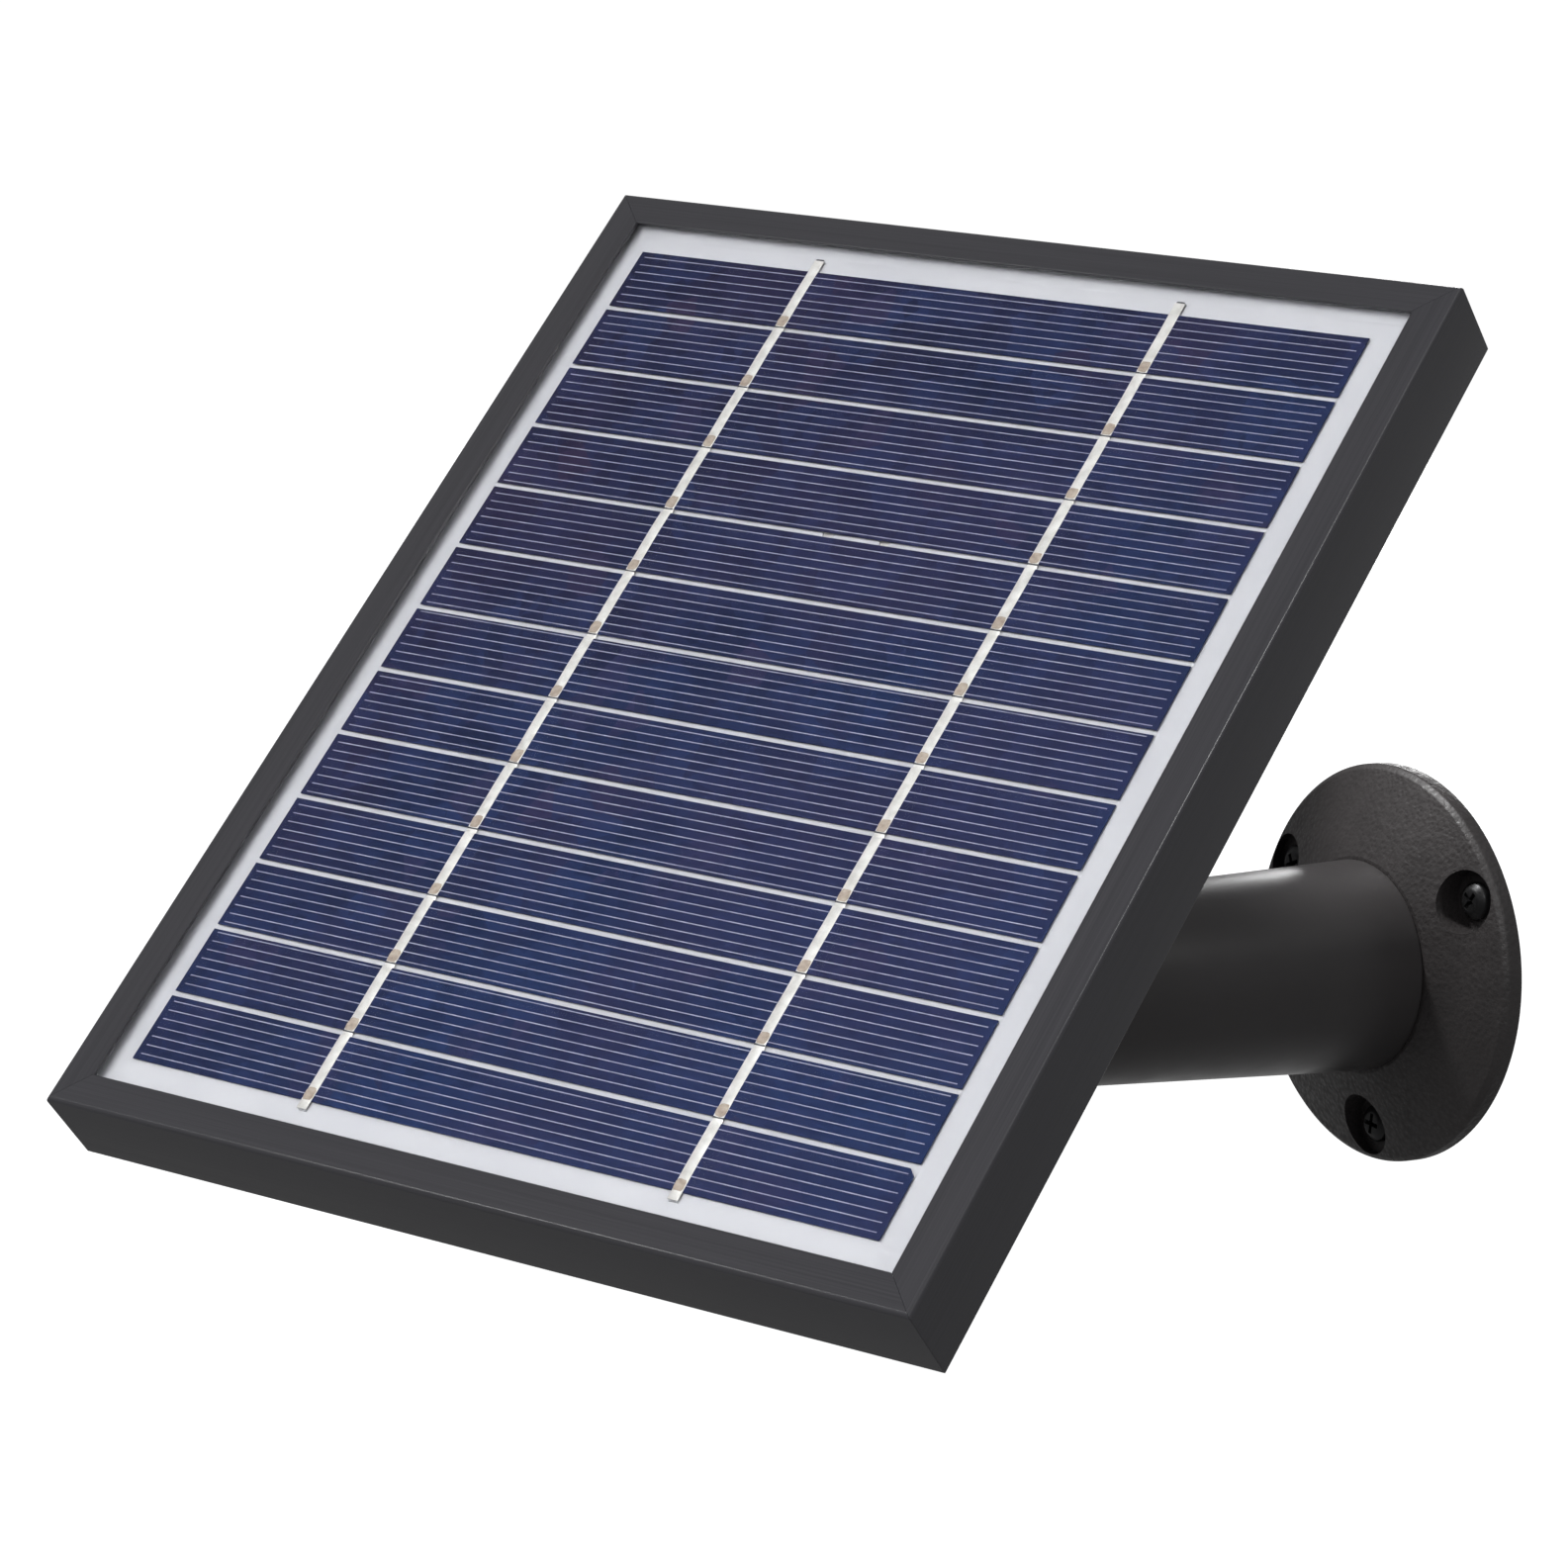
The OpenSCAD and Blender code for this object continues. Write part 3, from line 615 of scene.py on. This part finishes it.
FLANGE_HIGH = span(ARM, "wall_flange")[1]
FLANGE_R = float(FLANGE_HIGH[0])
FLANGE_TOP = float(FLANGE_HIGH[2])
FLANGE_RIM = 3.0
FLANGE_BEVEL = 0.9
SPIGOT_R = 18.0
POCKET_FLOOR = 4.0
SCREW_CIRCLE = 31.2
SCREW_START = 34.0
SCREW_SEAT = 1.8
COUNTERBORE_R = 5.95
WALL_HOLE_R = 2.3
CUT_TOP = 14.0
ARM_SCREW_CIRCLE = 11.0
ARM_SINK_R = 3.9
ARM_SINK_DEPTH = 1.9
ARM_ROOT_R = float(span(ARM, "arm")[1][0])
ARM_TIP_R = 16.45
ARM_END = float(span(ARM, "arm")[1][2])
THREAD_START = 110.0
THREAD_R = 15.6


def build_flange():
    disc = lathe(rounded([
        (0, 0, 0), (FLANGE_R, 0, 0.4), (FLANGE_R, FLANGE_RIM, 0.8),
        (FLANGE_R - FLANGE_BEVEL, FLANGE_RIM + FLANGE_BEVEL, 1.0), (ARM_ROOT_R + 0.6, FLANGE_TOP, 0.5),
        (SPIGOT_R + 0.1, FLANGE_TOP, 0), (SPIGOT_R + 0.1, POCKET_FLOOR, 0), (0, POCKET_FLOOR, 0)]), 160)
    seats = around(3, SCREW_CIRCLE, SCREW_START)
    bores = [moved(drum(COUNTERBORE_R, SCREW_SEAT, CUT_TOP, 64), m) for m in seats]
    holes = [moved(drum(WALL_HOLE_R, -1, CUT_TOP), m) for m in seats]
    backs = around(3, ARM_SCREW_CIRCLE, SCREW_START)
    sinks = [moved(drum(ARM_SINK_R, -1, ARM_SINK_DEPTH), m) for m in backs]
    piece("flange_casting", carved(disc, *bores, *holes, *sinks), ARM, "wall_arm", "textured_black",
          ["wall_flange"], 32)


def build_wall_screws():
    length = -float(span(ARM, "wall_screws")[0][2]) + SCREW_SEAT
    one = screw(3.6, 2.4, 2.05, length, 1.6, 2)
    seats = around(3, SCREW_CIRCLE, SCREW_START, SCREW_SEAT)
    places = [m @ at(turn=20 + 31 * i) for i, m in enumerate(seats)]
    piece("wall_screws_cross_head", moved(one, *places), ARM, "wall_arm", "black_screw", ["wall_screws"])


def build_arm():
    tube = lathe(rounded([
        (0, POCKET_FLOOR, 0), (SPIGOT_R, POCKET_FLOOR, 0.4), (SPIGOT_R, FLANGE_TOP, 0),
        (ARM_ROOT_R, FLANGE_TOP, 0.35), (ARM_TIP_R, THREAD_START, 0.4), (THREAD_R, THREAD_START, 0),
        (THREAD_R, ARM_END, 0.5), (13, ARM_END, 0.3), (13, 106, 0.5), (5, 106, 0.2), (5, 103, 0.2),
        (13.4, 103, 1), (16.7, 12, 1), (0, 12, 0)]), 160)
    piece("arm_tube", tube, ARM, "wall_arm", "satin_black", ["arm"])


def build_collar():
    low, high = span(ARM, "locking_collar")
    outer, start, mouth = float(high[0]), float(low[2]), float(high[2])
    centre = -BALL_CENTRE.y / MM
    seat = BALL_R + 0.1
    inner = [(math.sqrt(seat ** 2 - (z - centre) ** 2), z, 0)
             for z in (mouth, centre + 3, centre + 2, centre + 1, centre, centre - 1, ARM_END + 0.3)]
    flutes = 20
    flute_at = outer + 0.7
    flute_r = 1.5

    def shape(r, z, angle):
        if r < outer - 0.02 or not start + 1.9 < z < mouth - 3.8:
            return r, z
        aside = flute_at * math.sin((angle + TURN / flutes / 2) % (TURN / flutes) - TURN / flutes / 2)
        if abs(aside) >= flute_r:
            return r, z
        return min(r, math.sqrt(flute_at ** 2 - aside ** 2) - math.sqrt(flute_r ** 2 - aside ** 2)), z

    body = lathe(rounded([
        (THREAD_R + 0.1, start, 0.2), (outer - 0.8, start, 0.2), (outer, start + 0.8, 0.4),
        (outer, start + 1.8, 0), (outer, start + 2.3, 0), (outer, mouth - 4.2, 0), (outer, mouth - 3.7, 0),
        (outer, mouth - 3.5, 0), (outer - 3.5, mouth, 0.6), *inner, (THREAD_R + 0.1, ARM_END + 0.3, 0)]),
        240, shape)
    piece("collar_fluted", body, ARM, "collar", "collar_black", ["locking_collar"], 30)


# ---- ball, stud and foot ----

BALL_R = -float(span(BALL, "ball_stud")[0][2])
STUD_END = float(span(BALL, "ball_stud")[1][2])
STUD_R = 4.0
NECK_R = 3.4
SHOULDER = 20.0
FOOT_LOW, FOOT_HIGH = span(BALL, "foot")
FOOT_R = float(FOOT_HIGH[0])
HUB_AT = float(FOOT_LOW[2])
FOOT_FACE = float(FOOT_HIGH[2])
FOOT_LAND = FOOT_FACE - 4.5
FOOT_SCREW_CIRCLE = 18.0
FOOT_HOLE_R = 2.25
WASHER_R = 7.0


def build_ball():
    steps = 40
    meet = math.acos(NECK_R / BALL_R)
    arc = [(BALL_R * math.cos(a), BALL_R * math.sin(a))
           for a in (-TURN / 4 + (meet + TURN / 4) * k / steps for k in range(1, steps + 1))]
    knob = lathe([(0, -BALL_R), *arc, (NECK_R, BALL_R + 1), (NECK_R, SHOULDER + 0.2), (0, SHOULDER + 0.2)])
    stud = threaded(STUD_R, SHOULDER + 3.8, STUD_END, 1.25, 0, 48)
    piece("ball_stud_turned", joined(knob, hexagon(6.5, SHOULDER, SHOULDER + 4), stud), BALL, "ball",
          "plated_steel", ["ball_stud"])


def build_nut():
    low, high = span(BALL, "jam_nut")
    piece("jam_nut_chamfered", hexagon(7.5, float(low[2]), float(high[2]), STUD_R + 0.05), BALL, "ball",
          "zinc_steel", ["jam_nut"], 25)
    low, high = span(BALL, "lock_washer")
    z0, z1 = float(low[2]), float(high[2])
    bore = STUD_R + 0.2
    outline = rounded([(bore, z0, 0.15), (WASHER_R, z0, 0.25), (WASHER_R, z1, 0.25), (bore, z1, 0.15)])
    ring = lathe(outline, 64)
    slit = moved(block(8, 0.9, z0 - 1, z1 + 1), at(WASHER_R, 0, 0))
    piece("lock_washer_split", carved(ring, slit), BALL, "ball", "spring_steel", ["lock_washer"])


def build_foot():
    cast = lathe(rounded([
        (6, HUB_AT, 0.3), (10, HUB_AT, 0.5), (10.8, HUB_AT + 0.8, 0.8), (13.4, FOOT_LAND - 1.2, 1.2),
        (14.4, FOOT_LAND, 1.0), (FOOT_R - 0.8, FOOT_LAND, 0.4), (FOOT_R, FOOT_LAND + 0.8, 0.5),
        (FOOT_R, FOOT_FACE, 0.2), (6, FOOT_FACE, 0)]), 120)
    hole = drum(FOOT_HOLE_R, FOOT_LAND - 1, FOOT_FACE + 1)
    holes = [moved(hole, m) for m in around(4, FOOT_SCREW_CIRCLE, 45)]
    piece("foot_casting", carved(cast, *holes), BALL, "panel", "textured_black", ["foot"], 32)
    one = moved(screw(3.3, 2.2, 1.95, 10.2, 1.4), FLIP)
    places = [m @ at(turn=24 * i) for i, m in enumerate(around(4, FOOT_SCREW_CIRCLE, 45, FOOT_LAND))]
    piece("foot_screws_cross_head", moved(one, *places), BALL, "panel", "zinc_steel", ["foot_screws"])


# ---- frame ----

LIP_W = 6.8
LIP_T = 0.8
WALL_T = 1.4
BACK_FLANGE_W = 12.6
INNER_WALL = 6.4
LEDGE_Z = 10.0
EDGE_R = 0.95
MITRE_GAP = 0.035


def rail(length, half):
    """A mitred rail on the -y side, extruded along x."""
    section = rounded([
        (0, 0, 0.5), (BACK_FLANGE_W, 0, 0.25), (BACK_FLANGE_W, WALL_T, 0.25), (INNER_WALL, WALL_T, 0),
        (INNER_WALL, LEDGE_Z, 0), (WALL_T, LEDGE_Z, 0), (WALL_T, PANEL_D - LIP_T, 0),
        (LIP_W, PANEL_D - LIP_T, 0.1), (LIP_W, PANEL_D, 0.3), (0, PANEL_D, EDGE_R)], 6)
    ends = [[(side * (length / 2 - a - MITRE_GAP), a - half, z) for a, z in section] for side in (-1, 1)]
    return loft(ends)


def build_rails():
    for k, name in enumerate(RAILS):
        length, half = (PANEL_W, PANEL_H / 2) if k % 2 == 0 else (PANEL_H, PANEL_W / 2)
        space = PANEL @ Matrix.Rotation(TURN / 4 * k, 4, "Z")
        piece(name + "_extrusion", rail(length, half), space, "panel", "black_anodised", [name], 28)


# ---- cells, fingers, ribbons and glass ----

CELL_LOW, CELL_HIGH = span(PANEL, "solar_cells")
CELL_Z = float(CELL_LOW[2])
CELL_TOP = float(CELL_HIGH[2])
ARRAY_X = float(CELL_LOW[0] + CELL_HIGH[0]) / 2
ARRAY_TOP = float(CELL_HIGH[1])
STRIP_W = float(CELL_HIGH[0] - CELL_LOW[0])
STRIP_COUNT = 13
STRIP_GAP = 1.1
STRIP_PITCH = (ARRAY_TOP - float(CELL_LOW[1]) + STRIP_GAP) / STRIP_COUNT
STRIP_H = STRIP_PITCH - STRIP_GAP
CORNER_CUT = 1.3
FINGER_COUNT = 7
FINGER_PITCH = 1.88
FINGER_W = 0.2
FINGER_MARGIN = 1.15
RIBBON_X = 38.9
RIBBON_W = 2.1
RIBBON_T = 0.09
RIBBON_TOP_END = 2.7
RIBBON_LOW_END = 1.7
RIBBON_TAIL = 6.0
PATCH_H = 2.5
FINGER_T = 0.012


def strip_top(i):
    return ARRAY_TOP - i * STRIP_PITCH


def slab(outline, low, high):
    """A flat sheet with this outline."""
    return loft([[(x, y, low) for x, y in outline], [(x, y, high) for x, y in outline]])


def rectangle(x0, x1, y0, y1):
    return [(x0, y0), (x1, y0), (x1, y1), (x0, y1)]


def build_cells():
    left = ARRAY_X - STRIP_W / 2
    right = ARRAY_X + STRIP_W / 2
    parts = []
    for i in range(STRIP_COUNT):
        top = strip_top(i)
        outline = rectangle(left, right, top - STRIP_H, top)
        if i == STRIP_COUNT - 1:
            outline[2:3] = [(right, top - CORNER_CUT), (right - CORNER_CUT, top)]
        parts.append(slab(outline, CELL_Z, CELL_TOP))
    piece("cell_strips", joined(*parts), PANEL, "panel", "silicon", ["solar_cells"])


def build_fingers():
    draw = random.Random(5)
    left = ARRAY_X - STRIP_W / 2 + FINGER_MARGIN
    right = ARRAY_X + STRIP_W / 2 - FINGER_MARGIN
    parts = []
    for i in range(STRIP_COUNT):
        first = strip_top(i) - draw.uniform(0.45, 1.75)
        for k in range(FINGER_COUNT):
            y = first - k * FINGER_PITCH
            line = rectangle(left, right, y - FINGER_W / 2, y + FINGER_W / 2)
            parts.append(slab(line, CELL_TOP, CELL_TOP + FINGER_T))
    piece("cell_fingers", joined(*parts), PANEL, "panel", "silver_print")


def ribbon(x, i, draw):
    """A ribbon along one strip, down through the gap and under the next."""
    top = strip_top(i) + (RIBBON_TOP_END if i == 0 else 0.05)
    low = strip_top(i) - STRIP_H
    face = CELL_TOP
    if i == STRIP_COUNT - 1:
        path = [(top, face), (low, face), (low - RIBBON_LOW_END, face)]
    else:
        under = CELL_Z - RIBBON_T - 0.01
        following = low - STRIP_GAP
        path = [(top, face), (low + 0.1, face), (low - 0.15, face - 0.06),
                (low - STRIP_GAP * 0.7, CELL_Z - 0.06), (following, under), (following - RIBBON_TAIL, under)]
    fine = []
    for (y0, z0), (y1, z1) in zip(path, path[1:]):
        steps = max(1, int(abs(y1 - y0) / 1.5))
        fine += [(y0 + (y1 - y0) * k / steps, z0 + (z1 - z0) * k / steps) for k in range(steps)]
    fine.append(path[-1])
    drift = draw.uniform(-0.06, 0.06)
    half = RIBBON_W / 2
    rings = []
    for y, z in fine:
        middle = x + drift + 0.04 * math.sin(y / 2.3 + x)
        edge = z + RIBBON_T * 0.8
        rings.append([(middle - half, y, z), (middle + half, y, z), (middle + half * 0.9, y, edge),
                      (middle, y, z + RIBBON_T), (middle - half * 0.9, y, edge)])
    return loft(rings)


def blob(x, y, width, height, z0, z1, draw, count=14):
    """A flat patch with a slightly uneven edge."""
    outline = []
    for k in range(count):
        a = TURN * k / count
        square = 1 / max(abs(math.cos(a)), abs(math.sin(a)))
        reach = (0.7 * square + 0.3) * draw.uniform(0.93, 1.05)
        outline.append((x + width / 2 * reach * math.cos(a), y + height / 2 * reach * math.sin(a)))
    return slab(outline, z0, z1)


def build_ribbons():
    draw = random.Random(11)
    strips = []
    patches = []
    painted_shadows = []
    for side in (-1, 1):
        x = ARRAY_X + side * RIBBON_X
        for i in range(STRIP_COUNT):
            strips.append(ribbon(x, i, draw))
            low = strip_top(i) - STRIP_H
            tall = PATCH_H * draw.uniform(0.9, 1.1)
            top = CELL_TOP + RIBBON_T
            patches.append(blob(x, low + tall / 2, RIBBON_W * 0.98, tall, top, top + 0.03, draw))
            # painted shadow: a dark slab in the gap where the ribbon bends down under the next strip
            if i < STRIP_COUNT - 1:
                fold_shadow = rectangle(x - RIBBON_W / 2, x + RIBBON_W / 2, low - 0.3, low)
                painted_shadows.append(slab(fold_shadow, CELL_Z, top - 0.04))
        # painted shadow: a dark patch at the top end of each ribbon
        head = strip_top(0) + RIBBON_TOP_END
        painted_shadows.append(blob(x, head, RIBBON_W * 0.9, 0.9, CELL_Z, CELL_TOP - 0.02, draw))
    piece("ribbon_runs", joined(*strips), PANEL, "panel", "tinned_copper", ["tabbing_ribbons"], 50)
    piece("solder_patches", joined(*patches), PANEL, "panel", "solder")
    # the painted shadows at the ribbon bends and ends, as one dark mesh
    piece("painted_ribbon_shadows", joined(*painted_shadows), PANEL, "panel", "ribbon_shadow_black")


def build_glass():
    low, high = span(PANEL, "front_glass")
    x0, y0, z0 = (float(v) for v in low)
    x1, y1, z1 = (float(v) for v in high)
    sheet = slab(rectangle(x0, x1, y0, y1), z0, z1)
    piece("glass_pane", sheet, PANEL, "panel", "front_glass",
          ["front_glass", "front_encapsulant", "rear_encapsulant"])


# ---- back cover, junction box and gland ----

BOX_LOW, BOX_HIGH = span(PANEL, "junction_box")
BOX_X, BOX_Y = (float(v) for v in (BOX_HIGH - BOX_LOW)[:2])
BOX_AT_Y = float(BOX_LOW[1] + BOX_HIGH[1]) / 2
BOX_R = 4.0
BOX_WALL = 2.0
LID_LOW, LID_HIGH = span(PANEL, "box_lid")
GLAND_X = 18.0
GLAND_Z = -7.2
LID_SCREW_INSET = 5.5
COVER_SCREW_INSET = 9.6


def ring_at(outline, z):
    return [(x, y, z) for x, y in outline]


def build_box():
    centre = at(0, BOX_AT_Y)
    rim = float(BOX_LOW[2])
    floor = float(BOX_HIGH[2])
    inner = [oblong(BOX_X - 2 * BOX_WALL, BOX_Y - 2 * BOX_WALL, BOX_R - BOX_WALL), rim]
    shell = loft([
        ring_at(oblong(BOX_X, BOX_Y, BOX_R), floor), ring_at(oblong(BOX_X, BOX_Y, BOX_R), rim + 0.4),
        ring_at(oblong(BOX_X - 0.5, BOX_Y - 0.5, BOX_R - 0.25), rim), ring_at(*inner),
        ring_at(inner[0], floor - BOX_WALL)])
    piece("junction_box_shell", moved(shell, centre), PANEL, "panel", "moulded_black", ["junction_box"])
    low, high = float(LID_LOW[2]), float(LID_HIGH[2])
    lid = loft([
        ring_at(oblong(BOX_X, BOX_Y, BOX_R), high), ring_at(oblong(BOX_X, BOX_Y, BOX_R), low + 0.9),
        ring_at(oblong(BOX_X - 0.5, BOX_Y - 0.5, BOX_R - 0.25), low + 0.35),
        ring_at(oblong(BOX_X - 1.6, BOX_Y - 1.6, BOX_R - 0.8), low)])
    piece("junction_box_lid", moved(lid, centre), PANEL, "panel", "moulded_black", ["box_lid"])
    one = moved(screw(2.7, 1.7, 1.15, 11, 0.9), FLIP)
    x = BOX_X / 2 - LID_SCREW_INSET
    y = BOX_Y / 2 - LID_SCREW_INSET
    places = [centre @ at(a * x, b * y, low, 17 * k) for k, (a, b) in enumerate(SQUARE)]
    piece("lid_screws_cross_head", moved(one, *places), PANEL, "panel", "zinc_steel", ["lid_screws"])


def build_cover_screws():
    one = moved(screw(2.7, 1.7, 1.15, 6.5, 0.9), FLIP)
    x = PANEL_W / 2 - COVER_SCREW_INSET
    y = PANEL_H / 2 - COVER_SCREW_INSET
    places = [at(side * x, along * PANEL_H / 3, 0, 23 * along) for side in (-1, 1) for along in (-1, 0, 1)]
    places += [at(along * PANEL_W / 4, side * y, 0, 40 * side) for side in (-1, 1) for along in (-1, 1)]
    piece("cover_screws_cross_head", moved(one, *places), PANEL, "panel", "black_screw", ["cover_screws"])


def build_gland():
    outlet = at(GLAND_X, BOX_AT_Y - BOX_Y / 2, GLAND_Z) @ Matrix.Rotation(TURN / 4, 4, "X")
    nut = hexagon(7.5, 0, 4, 3.3)
    barrel = lathe([(3.3, -6), (5, -6), (5, 0.1), (4.8, 0.1), (4.8, 9), (3.3, 9)], 64)
    body = moved(joined(nut, barrel), outlet)
    piece("gland_hexagon", body, PANEL, "panel", "moulded_black", ["gland_body"])
    ribs = 14

    def shape(r, z, angle):
        if r < 6.7 or z > 9:
            return r, z
        return r - 0.35 * max(0.0, math.cos(angle * ribs)) ** 2, z

    cap = lathe(rounded([
        (4.9, 4.2, 0), (6.8, 4.2, 0.3), (6.8, 8.6, 0), (6.8, 9.2, 0), (6.8, 10.2, 1.2), (4.4, 13.7, 0.7),
        (2.6, 13.7, 0.3), (2.6, 9.7, 0), (4.9, 9.7, 0)]), 168, shape)
    piece("gland_dome_nut", moved(cap, outlet), PANEL, "panel", "moulded_black", ["gland_cap"])


# ---- the CAD nodes that stay, each with its own finish ----

def dress_nodes():
    slots = {sub["node"]: sub["material_slot"] for sub in frame["record"]["subparts"]}
    for name, obj in NODES.items():
        if obj.hide_render:
            continue
        finish = slots[name]
        for place in obj.material_slots:
            place.material = LOOKS[finish]
        if not obj.material_slots:
            obj.data.materials.append(LOOKS[finish])


# ---- floor, light and camera ----

CAMERA_PLACE = Vector((0.759426, -0.626252, 0.213000))
CAMERA_AZIMUTH = math.radians(57.388)
CAMERA_ELEVATION = math.radians(10.724)
CAMERA_ROLL = math.radians(3.170)
CAMERA_LENS = 119.98
SENSOR = 36.0
FLOOR_DROP = 0.035
FLOOR_HALF = 14.0
FLOOR_COLOUR = (0.35, 0.35, 0.35)
FLOOR_GLOW = 0.93
FLOOR_BOUNCE = (0.2, 0.2, 0.205)
FLOOR_SHEEN = 0.2
FLOOR_SHEEN_BEHIND = 0.5
WORLD_COLOUR = (1.0, 1.0, 1.02)
WORLD_STRENGTH = 0.25
MIRROR_STRENGTH = 0.05


def floor_look():
    """White to the camera and dimmer to other rays, with a sheen for glossy ones behind the flange."""
    look = Look("floor_paint", FLOOR_COLOUR, 0.9, 0.0, 0.0)
    out = look.tree.nodes["Material Output"]
    glow = look.add("ShaderNodeEmission")
    glow.inputs["Strength"].default_value = FLOOR_GLOW
    lit = look.add("ShaderNodeAddShader")
    look.link(look.shader.outputs[0], lit.inputs[0])
    look.link(glow.outputs[0], lit.inputs[1])
    dim = look.add("ShaderNodeBsdfDiffuse")
    dim.inputs["Color"].default_value = (*FLOOR_BOUNCE, 1)
    sheen = look.add("ShaderNodeEmission")
    x, y, _ = look.split_place()
    behind = look.math("MULTIPLY", look.ramp(x, 60, -60), look.ramp(y, -100, 0))
    look.feed(sheen.inputs["Strength"], look.ramp(behind, 0, 1, FLOOR_SHEEN, FLOOR_SHEEN_BEHIND))
    path = look.add("ShaderNodeLightPath")
    bounce = look.add("ShaderNodeMixShader")
    look.link(path.outputs["Is Glossy Ray"], bounce.inputs[0])
    look.link(dim.outputs[0], bounce.inputs[1])
    look.link(sheen.outputs[0], bounce.inputs[2])
    both = look.add("ShaderNodeMixShader")
    look.link(path.outputs["Is Camera Ray"], both.inputs[0])
    look.link(bounce.outputs[0], both.inputs[1])
    look.link(lit.outputs[0], both.inputs[2])
    look.link(both.outputs[0], out.inputs["Surface"])
    return look.material


def add_floor():
    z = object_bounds()[0][2] - FLOOR_DROP
    mesh = bpy.data.meshes.new("floor")
    mesh.from_pydata([(a * FLOOR_HALF, b * FLOOR_HALF, z) for a, b in SQUARE], [], [(0, 1, 2, 3)])
    floor = bpy.data.objects.new("floor", mesh)
    bpy.context.scene.collection.objects.link(floor)
    mesh.materials.append(floor_look())


def point_lamp(name, data, place, aim):
    lamp = bpy.data.objects.new(name, data)
    lamp.location = place
    lamp.rotation_euler = (Vector(aim) - Vector(place)).to_track_quat("-Z", "Y").to_euler()
    lamp.visible_camera = False
    bpy.context.scene.collection.objects.link(lamp)


def add_light(name, place, aim, size, power):
    data = bpy.data.lights.new(name, "AREA")
    data.shape = "RECTANGLE"
    data.size, data.size_y = size
    data.energy = power
    point_lamp(name, data, place, aim)


def add_spot(name, place, aim, degrees, power):
    """A soft-edged beam."""
    data = bpy.data.lights.new(name, "SPOT")
    data.energy = power
    data.spot_size = math.radians(degrees)
    data.spot_blend = 1.0
    data.shadow_soft_size = 0.012
    point_lamp(name, data, place, aim)


def add_world():
    """White to the camera, dimmer as a lamp and dimmest where the glass mirrors it."""
    world = bpy.data.worlds.new("studio")
    bpy.context.scene.world = world
    world.use_nodes = True
    tree = world.node_tree
    dim = tree.nodes["Background"]
    dim.inputs["Color"].default_value = (*WORLD_COLOUR, 1)
    seen = tree.nodes.new("ShaderNodeBackground")
    seen.inputs["Color"].default_value = (1, 1, 1, 1)
    path = tree.nodes.new("ShaderNodeLightPath")
    mirrored = tree.nodes.new("ShaderNodeMath")
    mirrored.operation = "MULTIPLY"
    tree.links.new(path.outputs["Is Glossy Ray"], mirrored.inputs[0])
    tree.links.new(path.outputs["Is Singular Ray"], mirrored.inputs[1])
    strength = tree.nodes.new("ShaderNodeMapRange")
    strength.inputs["To Min"].default_value = WORLD_STRENGTH
    strength.inputs["To Max"].default_value = MIRROR_STRENGTH
    tree.links.new(mirrored.outputs[0], strength.inputs["Value"])
    tree.links.new(strength.outputs["Result"], dim.inputs["Strength"])
    both = tree.nodes.new("ShaderNodeMixShader")
    tree.links.new(path.outputs["Is Camera Ray"], both.inputs[0])
    tree.links.new(dim.outputs[0], both.inputs[1])
    tree.links.new(seen.outputs[0], both.inputs[2])
    tree.links.new(both.outputs[0], tree.nodes["World Output"].inputs["Surface"])


def add_camera():
    data = bpy.data.cameras.new("camera")
    data.lens = CAMERA_LENS
    data.sensor_width = SENSOR
    data.clip_end = 100
    camera = bpy.data.objects.new("camera", data)
    level = math.cos(CAMERA_ELEVATION)
    forward = Vector((-math.sin(CAMERA_AZIMUTH) * level, math.cos(CAMERA_AZIMUTH) * level,
                      -math.sin(CAMERA_ELEVATION)))
    right = Matrix.Rotation(-CAMERA_ROLL, 3, forward) @ forward.cross(Vector((0, 0, 1))).normalized()
    camera.matrix_world = axes(right, right.cross(forward), -forward, CAMERA_PLACE)
    bpy.context.scene.collection.objects.link(camera)
    bpy.context.scene.camera = camera


build_flange()
build_wall_screws()
build_arm()
build_collar()
build_ball()
build_nut()
build_foot()
build_rails()
build_cells()
build_fingers()
build_ribbons()
build_glass()
build_box()
build_cover_screws()
build_gland()
dress_nodes()
add_floor()
add_light("key", (0.85, -1.55, 1.1), (0.02, -0.12, 0), (0.7, 0.7), 21)
add_light("low", (-0.47, -1.74, 0.87), (0.02, -0.15, 0), (0.22, 0.22), 2.6)
add_light("edge", (1.36, 0.38, 1.42), (0.08, -0.12, 0.05), (0.22, 0.22), 4)
add_light("back", (-0.9, 1.1, 0.3), (0, -0.1, 0.02), (0.6, 0.4), 12)
add_spot("flange", (-0.04, -0.08, 0.15), (0.016, -0.006, 0.03), 36, 1.15)
add_world()
add_camera()
bpy.context.scene.view_settings.view_transform = "Standard"
